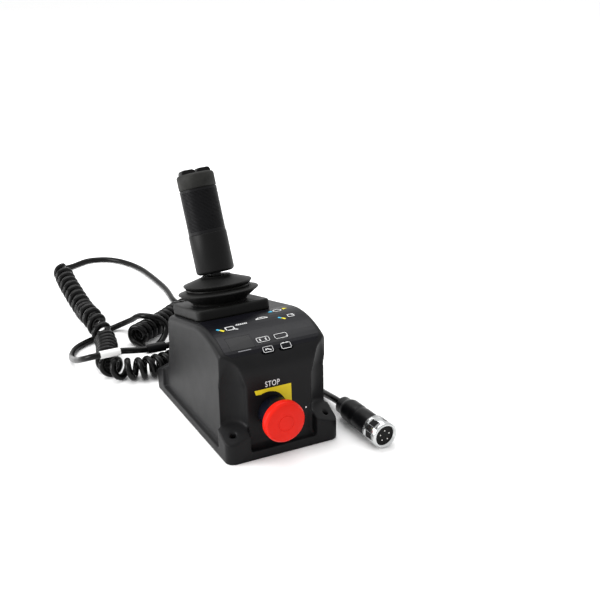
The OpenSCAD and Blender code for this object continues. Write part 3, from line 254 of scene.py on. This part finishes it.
class Finish:
    """A material and the one method that adds its nodes."""

    def __init__(self, name):
        self.material = bpy.data.materials.new(name)
        self.material.use_nodes = True
        self.tree = self.material.node_tree
        self.shader = self.tree.nodes["Principled BSDF"]

    def node(self, kind, settings, sockets, output=0):
        made = self.tree.nodes.new("ShaderNode" + kind)
        for name, value in settings.items():
            if name == "stops":
                for stop, (place, colour) in zip(made.color_ramp.elements, value):
                    stop.position = place
                    stop.color = (*colour, 1)
            else:
                setattr(made, name, value)
        for name, value in sockets.items():
            self.set(made.inputs[name], value)
        return Wire(self, made.outputs[output])

    def set(self, socket, value):
        if isinstance(value, Wire):
            self.tree.links.new(value.socket, socket)
        else:
            socket.default_value = value

    def surface(self, **sockets):
        for name, value in sockets.items():
            self.set(self.shader.inputs[name.replace("_", " ").title()], value)


mm_per_m = 1000
object_socket = 3
cloud_scale = 60.0
coat_rough = 0.08


def moulded(name, colour, rough, grain=900.0, relief=0.02, spread=0.25, vary=0.06, coat=0.0,
            metallic=0.0, specular=0.12):
    """A moulded or machined finish: a colour with faint clouds, uneven gloss and a fine grain."""
    finish = Finish(name)
    place = finish.node("TexCoord", {}, {}, object_socket)
    clouds = finish.node("TexNoise", {}, {"Vector": place, "Scale": cloud_scale, "Detail": 3.0})
    fine = finish.node("TexNoise", {}, {"Vector": place, "Scale": grain, "Detail": 2.0})
    dark = tuple(c * (1 - spread) for c in colour)
    tone = finish.node("ValToRGB", {"stops": [(0.3, dark), (0.7, colour)]}, {"Fac": clouds})
    gloss = rough - vary + 2 * vary * clouds
    bump = finish.node("Bump", {}, {"Strength": 1.0, "Distance": relief / mm_per_m, "Height": fine})
    finish.surface(base_color=tone, roughness=gloss, normal=bump, metallic=metallic)
    finish.shader.inputs["Coat Weight"].default_value = coat
    finish.shader.inputs["Coat Roughness"].default_value = coat_rough
    finish.shader.inputs["Specular IOR Level"].default_value = specular
    return finish.material


def dress(piece, material):
    """Gives a piece, or a CAD node by its name, its one material."""
    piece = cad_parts[piece] if isinstance(piece, str) else piece
    piece.data.materials.clear()
    piece.data.materials.append(material)


cord_rubber = moulded("cord_rubber", (0.003, 0.003, 0.003), 0.24, grain=700.0, relief=0.03, coat=0.04)
cord = bezier_through("cord", cord_points, cord_d)
dress(cord, cord_rubber)
cord_length = sum((b - a).length for a, b in zip(cord_points, cord_points[1:]))
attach(cord, "base")
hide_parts("cord_curls", "cord_loop", "cord_lead")

# Light: an even white surround, as in a studio's light tent, and two soft boxes. The large one on
# the left brightens the left side of the box. The one above and behind draws the highlights
# along the top.
surround = bpy.data.worlds.new("studio")
surround.use_nodes = True
surround.node_tree.nodes["Background"].inputs["Color"].default_value = (1, 1, 1, 1)
surround.node_tree.nodes["Background"].inputs["Strength"].default_value = 1.0
bpy.context.scene.world = surround
bpy.context.scene.view_settings.view_transform = "Standard"


def soft_box(name, place, target, size, power):
    """A soft area light that stands at a place and faces a target."""
    light = bpy.data.lights.new(name, "AREA")
    light.shape = "RECTANGLE"
    light.size, light.size_y = size
    light.energy = power
    box_way = Vector(target) - Vector(place)
    made = placed(name, light)
    made.matrix_world = (Matrix.Translation(place)
                         @ box_way.to_track_quat("-Z", "Y").to_matrix().to_4x4())


soft_box("left_box", place=(-1.6, 0.3, 0.7), target=(0, 0, 0.05), size=(1.0, 1.0), power=30)
soft_box("top_box", place=(0.1, 0.8, 1.9), target=(0, 0.1, 0), size=(2.0, 1.2), power=26)

# Floor: white studio paper, laid flat under the box and far out on all sides. It is the stage and
# not part of the object.
floor_half = 60
paper = moulded("paper", (0.97, 0.97, 0.97), 0.8, grain=200.0, relief=0.0, spread=0.01, vary=0.02)
floor_bm = bmesh.new()
bmesh.ops.create_grid(floor_bm, x_segments=1, y_segments=1, size=floor_half)
floor_mesh = bpy.data.meshes.new("floor")
floor_bm.to_mesh(floor_mesh)
floor_bm.free()
floor = placed("floor", floor_mesh)
dress(floor, paper)

# Housing: one black moulding with a fine satin grain. Its outer edges are rounded as the mould
# leaves them, and its four corners are scooped out down to the mounting pads.
housing_plastic = moulded("housing_plastic", (0.006, 0.006, 0.0065), 0.42, grain=1500.0, relief=0.035)
housing_voxel = 0.0011
housing_passes = 6
housing_share = 0.5
weld = 0.000005


def merged(node):
    """A copy of a CAD node's mesh, with the corners of its loose triangles joined."""
    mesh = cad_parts[node].data.copy()
    bm = bmesh.new()
    bm.from_mesh(mesh)
    bmesh.ops.remove_doubles(bm, verts=bm.verts, dist=weld)
    bm.to_mesh(mesh)
    bm.free()
    return mesh


def stand_in(piece, node, body, material):
    """Puts a finished piece on its body in the place of a CAD node."""
    dress(piece, material)
    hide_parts(node)
    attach(piece, body)


def softened(name, node, material, voxel, passes, share=1.0):
    """A copy of a fixed CAD node whose sharp edges are rounded, as a moulding's are."""
    made = placed(name, merged(node))
    skin = made.modifiers.new("skin", "REMESH")
    skin.mode = "VOXEL"
    skin.voxel_size = voxel
    skin.use_smooth_shade = True
    smooth = made.modifiers.new("round", "SMOOTH")
    smooth.factor = 0.5
    smooth.iterations = passes
    if share < 1:
        thin = made.modifiers.new("thin", "DECIMATE")
        thin.ratio = share
    stand_in(made, node, "base", material)


softened("housing", "housing_shell", housing_plastic, housing_voxel, housing_passes,
         housing_share)

# Panel: a printed film, slightly glossier than the housing, is glued over the crown. White, blue
# and yellow signs are printed on it, and the signs on the four keys move with the keys.
film_black = moulded("film_black", (0.003, 0.003, 0.005), 0.30, grain=1200.0, relief=0.02)
key_film = moulded("key_film", (0.003, 0.003, 0.005), 0.32, grain=1200.0, relief=0.02)
smoked_lens = moulded("smoked_lens", (0.003, 0.003, 0.004), 0.26, relief=0.0)
ink_white = moulded("ink_white", (0.80, 0.80, 0.80), 0.45, relief=0.005)
ink_grey = moulded("ink_grey", (0.30, 0.30, 0.32), 0.45, relief=0.005)
ink_yellow = moulded("ink_yellow", (0.72, 0.62, 0.04), 0.45, relief=0.005, spread=0.08)
ink_blue = moulded("ink_blue", (0.05, 0.42, 0.66), 0.45, relief=0.005, spread=0.08)
crown_centre = Vector((0, -0.0342, 0.0169164))
crown_r = 0.095
brow_centre = Vector((0, -0.064, 0.081359))
brow_r = 0.024
brow_starts = -0.0741
film_t = 0.0004
key_proud = 0.00015
ink_lift = 0.00008
ink_t = 0.00006
film_crease = 12


def rounded_off(name, node, body, material, crease=30):
    """A copy of a CAD node with its facets merged and shaded as the smooth faces that they are."""
    mesh = merged(node)
    mesh.shade_smooth()
    mesh.set_sharp_from_angle(angle=math.radians(crease))
    stand_in(placed(name, mesh), node, body, material)


def on_crown(x, y, lift):
    """The frame on the crown, or on the brow ahead of it, at (x, y), with its z axis outwards."""
    centre, radius = (crown_centre, crown_r) if y > brow_starts else (brow_centre, brow_r)
    lean = math.asin((y - centre.y) / radius)
    out = Vector((0, math.sin(lean), math.cos(lean)))
    foot = Vector((x, centre.y, centre.z)) + (radius + film_t + lift) * out
    return Matrix.Translation(foot) @ Matrix.Rotation(-lean, 4, "X")


def flat_piece(bm, outline, thickness):
    """Adds a thin flat piece with this outline, in millimetres, on the plane z = 0."""
    corners = [bm.verts.new((x / mm_per_m, y / mm_per_m, 0)) for x, y in outline]
    face = bm.faces.new(corners)
    raised = bmesh.ops.extrude_face_region(bm, geom=[face])["geom"]
    upper = [v for v in raised if isinstance(v, bmesh.types.BMVert)]
    bmesh.ops.translate(bm, vec=(0, 0, thickness), verts=upper)


def mesh_piece(name, bm, place, body, material):
    """Turns a bmesh into a piece that rides a body, with its place in its mesh."""
    bmesh.ops.recalc_face_normals(bm, faces=bm.faces)
    bmesh.ops.transform(bm, matrix=place, verts=bm.verts)
    mesh = bpy.data.meshes.new(name)
    bm.to_mesh(mesh)
    bm.free()
    made = placed(name, mesh)
    dress(made, material)
    if body:
        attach(made, body)
    return made


def printed(name, outlines, place, ink, body="base"):
    """A printed sign made of flat outlines, given in millimetres about its middle."""
    bm = bmesh.new()
    for outline in outlines:
        flat_piece(bm, outline, ink_t)
    mesh_piece(name, bm, place, body, ink)


def bar(x0, y0, x1, y1, width):
    """A straight stroke as an outline."""
    along = Vector((x1 - x0, y1 - y0)).normalized() * width / 2
    over = Vector((-along.y, along.x))
    a = Vector((x0, y0))
    b = Vector((x1, y1))
    return [tuple(a - along - over), tuple(b + along - over),
            tuple(b + along + over), tuple(a - along + over)]


def box_strokes(w, h, width, cut=0.8):
    """The strokes of a frame with cut corners."""
    x = w / 2
    y = h / 2
    return [bar(-x + cut, -y, x - cut, -y, width), bar(x, -y + cut, x, y - cut, width),
            bar(x - cut, y, -x + cut, y, width), bar(-x, y - cut, -x, -y + cut, width),
            bar(x - cut, -y, x, -y + cut, width), bar(x, y - cut, x - cut, y, width),
            bar(-x + cut, y, -x, y - cut, width), bar(-x, -y + cut, -x + cut, -y, width)]


def arrow(x, y, turn, size):
    """A solid arrow head."""
    tip_and_wings = [(0.6, 0), (-0.4, 0.5), (-0.4, -0.5)]
    c = math.cos(math.radians(turn))
    s = math.sin(math.radians(turn))
    return [(x + size * (c * a - s * b), y + size * (s * a + c * b)) for a, b in tip_and_wings]


rounded_off("overlay_film", "panel_overlay", "base", film_black, film_crease)
rounded_off("smoked_window", "display_lens", "base", smoked_lens, film_crease)

key_stroke = 0.42
key_prints = [
    ("key_1", (-6.6, -68.6), (12.4, 5.8), [arrow(-3.0, 0.9, 135, 1.7), arrow(3.0, 0.9, 45, 1.7),
                                           arrow(-3.0, -0.9, 225, 1.7), arrow(3.0, -0.9, 315, 1.7)]),
    ("key_2", (11.6, -68.6), (12.4, 5.8), [arrow(5.2, -1.6, 0, 1.2)]),
    ("key_3", (-6.6, -79.2), (9.6, 5.6), [arrow(-2.0, 0.2, 90, 2.0), bar(-0.6, 0.6, 2.6, -1.0, 1.0)]),
    ("key_4", (11.6, -79.2), (9.6, 5.6), [bar(-2.6, 3.2, -1.2, 3.2, 0.5), bar(1.2, 3.2, 2.6, 3.2, 0.5)]),
]
for key, (x, y), (wide, high), marks in key_prints:
    dress(key, key_film)
    printed(key + "_sign", box_strokes(wide, high, key_stroke) + marks,
            on_crown(x / mm_per_m, y / mm_per_m, key_proud + ink_lift), ink_white, key)

film_prints = [
    ("window_edge", (-28.5, -76.2), ink_grey, [bar(-6.0, 0, 6.0, 0, 0.7)]),
    ("left_sign_box", (-28.5, -43.5), ink_white,
     box_strokes(8.0, 6.0, 0.9, 0.4) + [bar(2.6, -2.2, 6.0, -4.0, 1.3)]),
    ("left_sign_blue", (-38.5, -43.2), ink_blue, [bar(-1.8, 1.5, 0.2, -0.1, 2.1)]),
    ("left_sign_yellow", (-38.5, -43.2), ink_yellow, [bar(0.6, -0.7, 2.2, -2.6, 2.3)]),
    ("right_sign_box", (35.0, -42.0), ink_white,
     box_strokes(6.0, 4.6, 0.6, 0.3) + [bar(1.6, 1.6, 3.4, 0.4, 0.9)]),
    ("right_sign_blue", (24.5, -43.5), ink_blue, [bar(-1.8, 1.5, 0.2, -0.1, 2.0)]),
    ("right_sign_yellow", (24.5, -43.5), ink_yellow, [bar(0.6, -0.6, 2.2, -2.3, 2.2)]),
    ("rear_sign_box", (29.0, -24.5), ink_white, box_strokes(7.6, 6.0, 0.9, 1.8)),
    ("rear_sign_blue", (21.5, -25.0), ink_blue, [arrow(0, 0, 180, 4.4)]),
    ("rear_sign_yellow", (37.5, -23.0), ink_yellow, [arrow(0, 0, 0, 5.0)]),
    ("level_sign", (-15.5, -39.5), ink_white,
     [bar(left, -0.8, left + 0.9, 0.9, 0.8) for left in (-5.2, -3.2, -1.2, 0.8, 2.8, 4.8)]
     + [bar(-5.6, -0.9, 5.6, -0.9, 0.7)]),
    ("drive_sign", (7.0, -35.5), ink_white,
     [bar(-6.0, -1.5, 6.0, -1.5, 0.8), bar(-5.4, -0.8, -2.0, 1.4, 0.9),
      bar(-2.0, 1.4, 3.0, 1.4, 0.9), bar(3.0, 1.4, 5.6, -0.8, 0.9)]),
]
for name, (x, y), ink, strokes in film_prints:
    printed(name, strokes, on_crown(x / mm_per_m, y / mm_per_m, ink_lift), ink)

# Stop button: a red mushroom head on a stem, in a dark collar that is screwed to the front wall.
# Its head is turned with a rounded brim and a shallow ring in its face.
stop_red = moulded("stop_red", (0.62, 0.011, 0.004), 0.38, grain=1100.0, relief=0.02, spread=0.08)
stem_plastic = moulded("stem_plastic", (0.02, 0.02, 0.022), 0.4)
collar_plastic = moulded("collar_plastic", (0.004, 0.005, 0.010), 0.30)
rubber_black = moulded("rubber_black", (0.005, 0.005, 0.0048), 0.46, grain=1300.0, relief=0.05)
stop_centre = Vector((-0.0071, -0.088, 0.0412))
front_frame = Matrix.Translation(stop_centre) @ Matrix.Rotation(math.pi / 2, 4, "X")
head_r = 20.0
head_low = 18.0
head_top = 28.0
low_round = 1.8
brim_round = 1.4
face_round = 1.0
face_ring_r = 7.5
turned_steps = 96


def arc_points(x, y, r, start, end, steps):
    """Points of an arc, with angles in degrees."""
    angles = [math.radians(start + (end - start) * i / steps) for i in range(steps + 1)]
    return [(x + r * math.cos(a), y + r * math.sin(a)) for a in angles]


def spun(name, outline, steps, place, body, material, crease=35):
    """A turned piece: the outline of (radius, height) in millimetres is spun about its z axis."""
    bm = bmesh.new()
    verts = [bm.verts.new((r / mm_per_m, 0, h / mm_per_m)) for r, h in outline]
    edges = [bm.edges.new(pair) for pair in zip(verts, verts[1:])]
    if outline[0][0] > 0:
        edges.append(bm.edges.new((verts[-1], verts[0])))
    bmesh.ops.spin(bm, geom=verts + edges, axis=(0, 0, 1), cent=(0, 0, 0), steps=steps,
                   angle=2 * math.pi, use_merge=True, use_duplicate=False)
    bmesh.ops.remove_doubles(bm, verts=bm.verts, dist=0.000001)
    made = mesh_piece(name, bm, place, body, material)
    made.data.shade_smooth()
    made.data.set_sharp_from_angle(angle=math.radians(crease))
    return made


head_outline = ([(0, head_low), (head_r - 3.0, head_low)]
                + arc_points(head_r - low_round, head_low + low_round, low_round, -90, 0, 4)
                + arc_points(head_r - brim_round, head_top - 3.4, brim_round, 0, 60, 4)
                + [(head_r - 1.1, head_top - 1.4)]
                + arc_points(head_r - 2.4, head_top - 1.6, face_round, 30, 90, 3)
                + [(head_r - 3.1, head_top - 0.25), (face_ring_r + 0.6, head_top - 0.25),
                   (face_ring_r + 0.3, head_top - 0.55), (face_ring_r - 0.3, head_top - 0.55),
                   (face_ring_r - 0.6, head_top - 0.2), (3, head_top), (0, head_top)])
head = spun("stop_button", head_outline, turned_steps, front_frame, "stop_mushroom", stop_red)
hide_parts("stop_head")
dress("stop_stem", stem_plastic)
dress("stop_collar", collar_plastic)
dress("stop_gasket", rubber_black)

# Front marks: a yellow patch cut out round the collar and the word STOP are printed on the front
# wall. A small white lamp sits to the right of the button.
patch_yellow = moulded("patch_yellow", (0.66, 0.52, 0.02), 0.42, relief=0.01, spread=0.06)
patch_t = 0.00012
patch_lift = 0.00005
patch_top = 24.5
patch_hole = (-4.5, 3.4)
patch_hole_r = 17.8
patch_outline = ([(-18.2, patch_top), (-16.8, 19.9)] + arc_points(*patch_hole, patch_hole_r, 114, 20, 10)
                 + [(19.4, 4.4), (18.9, patch_top)])
word_size = 0.0078
word_gap = 1.12
word_t = 0.00006
word_narrow = 0.74
word_start = (-0.0075, 0.0262, 0.00011)
lamp_centre = (0.034, -0.0043, 0)
lamp_r = 0.8
lamp_steps = 24

patch_bm = bmesh.new()
flat_piece(patch_bm, patch_outline, patch_t)
mesh_piece("stop_patch", patch_bm, front_frame @ Matrix.Translation((0, 0, patch_lift)), "base",
           patch_yellow)
word = bpy.data.curves.new("stop_word", "FONT")
word.body = "STOP"
word.size = word_size
word.space_character = word_gap
word.extrude = word_t
word.offset = word_t
word_object = placed("stop_word", word)
bpy.context.view_layer.update()
word_mesh = bpy.data.meshes.new_from_object(word_object)
bpy.data.objects.remove(word_object)
word_mesh.transform(front_frame @ Matrix.Translation(word_start)
                    @ Matrix.Diagonal((word_narrow, 1, 1, 1)))
stop_word = placed("stop_word", word_mesh)
dress(stop_word, ink_white)
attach(stop_word, "base")
spun("lamp_dot", [(0, 0), (lamp_r, 0), (lamp_r, 0.2), (lamp_r - 0.3, 0.4), (0, 0.5)], lamp_steps,
     front_frame @ Matrix.Translation(lamp_centre), "base", ink_white)

# Joystick foot: a square rubber foot is held down by a steel frame, and a rubber bellows with two
# discs closes the opening round the lever.
stick_slope = math.radians(13.5)
stick_foot = Vector((-0.008, 0.027, 0.099918))
stick_frame = Matrix.Translation(stick_foot) @ Matrix.Rotation(-stick_slope, 4, "X")
foot_voxel = 0.0008
foot_passes = 8
softened("boot_foot", "boot_base", rubber_black, foot_voxel, foot_passes)

rubber_t = 1.4
bellows_r = 27.0
bellows_low = 10.5
low_disc_r = 39.8
low_disc_z = 21.5
waist_r = 30.0
waist_z = 25.0
high_disc_r = 34.0
high_disc_z = 29.3
lip_r = 0.9
neck_r = 14.2
neck_z = 37.0
neck_hole_r = 5.3
bellows_outline = ([(bellows_r, bellows_low), (bellows_r, bellows_low + 1.1),
                    (bellows_r + rubber_t, bellows_low + 2.5)]
                   + arc_points(low_disc_r - lip_r, low_disc_z, lip_r, -50, 60, 5)
                   + [(waist_r + 1.6, waist_z - 0.6)]
                   + arc_points(waist_r + 1.2, waist_z, 1.2, 250, 110, 5)[1:-1]
                   + [(waist_r + 1.6, waist_z + 0.8)]
                   + arc_points(high_disc_r - lip_r, high_disc_z, lip_r, -50, 70, 5)
                   + arc_points(neck_r + rubber_t, neck_z + 0.4, rubber_t, 250, 180, 4)[:-1]
                   + [(neck_r, neck_z), (neck_hole_r, neck_z), (neck_hole_r, neck_z - rubber_t),
                      (neck_r - 1.0, neck_z - rubber_t), (high_disc_r - 5.0, high_disc_z + 0.3),
                      (waist_r - 2.8, waist_z), (low_disc_r - 5.2, low_disc_z + 0.1),
                      (bellows_r - rubber_t, bellows_low + 1.7), (bellows_r - rubber_t, bellows_low)])
bellows = spun("bellows", bellows_outline, turned_steps, stick_frame, None, rubber_black,
               crease=60)
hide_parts("boot_bellows")
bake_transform(bellows)

# Grip: a lower shell and a cap of black plastic, with a ribbed rubber sleeve between them, on a
# steel shaft. A trigger that has to be held to drive sits at the rear of the sleeve.
grip_black = moulded("grip_black", (0.003, 0.003, 0.003), 0.42, grain=1400.0, relief=0.04)
grip_rubber = moulded("grip_rubber", (0.004, 0.004, 0.0045), 0.36, grain=1400.0, relief=0.03)
cap_black = moulded("cap_black", (0.026, 0.026, 0.024), 0.55, grain=1400.0, relief=0.05, spread=0.75)
dark_steel = moulded("dark_steel", (0.03, 0.03, 0.03), 0.45, relief=0.0, metallic=0.6)
dress("lever_shaft", dark_steel)
rounded_off("lower_shell", "grip_lower", "lever", grip_black)
dress("grip_sleeve", grip_rubber)
rounded_off("cap", "grip_cap", "lever", cap_black)
dress("enable_trigger", grip_black)

# Thumb rocker: one black plastic button with two raised ends and a dip between them. It sits in
# the top of the cap and tilts on a pin.
grip_foot = 0.038
grip_leans_left = math.radians(2.4)
grip_leans_back = math.radians(6.5)
grip_frame = (stick_frame @ Matrix.Translation((0, 0, grip_foot))
              @ Matrix.Rotation(-grip_leans_left, 4, "Y") @ Matrix.Rotation(-grip_leans_back, 4, "X"))
rocker_side = [(0, 4.6), (1.6, 8.2), (3.6, 9.3), (12.3, 9.3), (14.2, 8.6), (15.1, 6.4), (15.1, -3)]
rocker_deep = 0.012
rocker_round = 0.0009
rocker_up = 0.0957
rocker_crease = 40
rocker_place = (grip_frame @ Matrix.Translation((0, rocker_deep / 2, rocker_up))
                @ Matrix.Rotation(math.pi / 2, 4, "X"))
rocker_bm = bmesh.new()
flat_piece(rocker_bm, [(-x, z) for x, z in reversed(rocker_side[1:])] + rocker_side, rocker_deep)
bmesh.ops.recalc_face_normals(rocker_bm, faces=rocker_bm.faces)
rims = [e for e in rocker_bm.edges if len({v.co.z for v in e.verts}) == 1]
bmesh.ops.bevel(rocker_bm, geom=rims, offset=rocker_round, offset_type="OFFSET", segments=3,
                profile=0.5, affect="EDGES", material=-1)
rocker = mesh_piece("rocker_button", rocker_bm, rocker_place, "rocker", grip_black)
rocker.data.shade_smooth()
rocker.data.set_sharp_from_angle(angle=math.radians(rocker_crease))
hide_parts("thumb_rocker")

# Gland and sleeves: the cord leaves the rear wall through a black plastic gland with a rubber
# seal, and carries a thick rubber sleeve and a blank white label of shrunk film.
plug_rubber = moulded("plug_rubber", (0.004, 0.004, 0.0045), 0.36, grain=1200.0, relief=0.04)
label_film = moulded("label_film", (0.80, 0.80, 0.79), 0.35, relief=0.01, spread=0.05, coat=0.2)
for node in ("gland_body", "gland_locknut", "gland_nut"):
    dress(node, collar_plastic)
dress("cord_seal", rubber_black)
dress("cord_sleeve", plug_rubber)
dress("label_sleeve", label_film)

# Plug: a round body moulded onto the cord, with a bright metal screw ring that turns on it. Five
# pins stand in a black insert in its mouth. Six slots run round the ring, with painted shade on their
# floors.
nickel = moulded("nickel", (0.56, 0.57, 0.57), 0.22, grain=500.0, relief=0.01, spread=0.1, metallic=1.0)
insert_black = moulded("insert_black", (0.003, 0.003, 0.003), 0.45)
tinned = moulded("tinned", (0.75, 0.74, 0.71), 0.25, relief=0.0, spread=0.08, metallic=1.0)
rounded_off("plug_body", "connector_body", "base", plug_rubber)
rounded_off("screw_ring", "coupling_nut", "plug_ring", nickel)
dress("connector_insert", insert_black)
dress("connector_pins", tinned)
plug_frame = (Matrix.Translation(plug_rear) @ Matrix.Rotation(plug_turn, 4, "Z")
              @ Matrix.Rotation(math.pi / 2, 4, "X"))
ring_rear = 0.0542
ring_face = 0.0752
insert_face = ring_face - 0.0022
insert_r = 10.2
insert_steps = 64
pin_count = 5
pin_r = 0.65
pin_reach = 1.0
pin_steps = 16
pin_first = 18
pin_circle_r = 0.005
slot_count = 6
slot_place = (0.01165, 0, ring_rear + 0.01008)
slot_size = (0.0007, 0.0062, 0.0098)

spun("insert_rim", [(0, -5), (insert_r, -5), (insert_r, -0.4), (insert_r - 0.4, 0), (0, 0)],
     insert_steps, plug_frame @ Matrix.Translation((0, 0, insert_face)), "base", insert_black)
for pin in range(pin_count):
    turn = Matrix.Rotation(math.radians(360 / pin_count * pin + pin_first), 4, "Z")
    pin_place = plug_frame @ turn @ Matrix.Translation((pin_circle_r, 0, insert_face))
    spun("pin_tip_%d" % pin, [(0, 0), (pin_r, 0), (pin_r, pin_reach - 0.3), (pin_r - 0.25, pin_reach),
                              (0, pin_reach)], pin_steps, pin_place, "base", tinned)
# Painted shade: thin black strips lie on the floors of the six slots in the ring, so that the slots look
# dark.
slot_bm = bmesh.new()
for slot in range(slot_count):
    turn = Matrix.Rotation(math.radians(360 / slot_count * slot), 4, "Z")
    bmesh.ops.create_cube(slot_bm, size=1, matrix=turn @ Matrix.Translation(slot_place)
                          @ Matrix.Diagonal((*slot_size, 1)))
mesh_piece("ring_slot_shade", slot_bm, plug_frame, "plug_ring", insert_black)

# Inner pieces: the plate under the box, its screws and what sits behind the walls keep the shapes
# of the CAD. They are plated steel, bronze, green circuit board, grey plastic or rubber.
bright_steel = moulded("bright_steel", (0.55, 0.55, 0.56), 0.32, grain=600.0, relief=0.02, metallic=1.0)
board_green = moulded("board_green", (0.02, 0.12, 0.05), 0.35, coat=0.2)
inner_grey = moulded("inner_grey", (0.06, 0.06, 0.065), 0.45)
bronze = moulded("bronze", (0.55, 0.38, 0.16), 0.35, metallic=1.0)
contact_red = moulded("contact_red", (0.45, 0.03, 0.02), 0.35)
inner_pieces = [
    (bright_steel, ["base_plate", "base_plate_screws", "board_screws", "stop_locknut", "joystick_screws",
                    "centring_springs", "sensor_magnet", "pivot_pin", "boot_frame", "rocker_pin",
                    "trigger_pin", "lever_yoke"]),
    (board_green, ["display_module", "circuit_board"]),
    (inner_grey, ["tact_switches", "stop_adapter", "joystick_body", "position_sensor", "rocker_switch",
                  "trigger_switch"]),
    (rubber_black, ["base_gasket"]),
    (bronze, ["pivot_bushes"]),
    (contact_red, ["stop_contacts"]),
]
for material, nodes in inner_pieces:
    for node in nodes:
        dress(node, material)
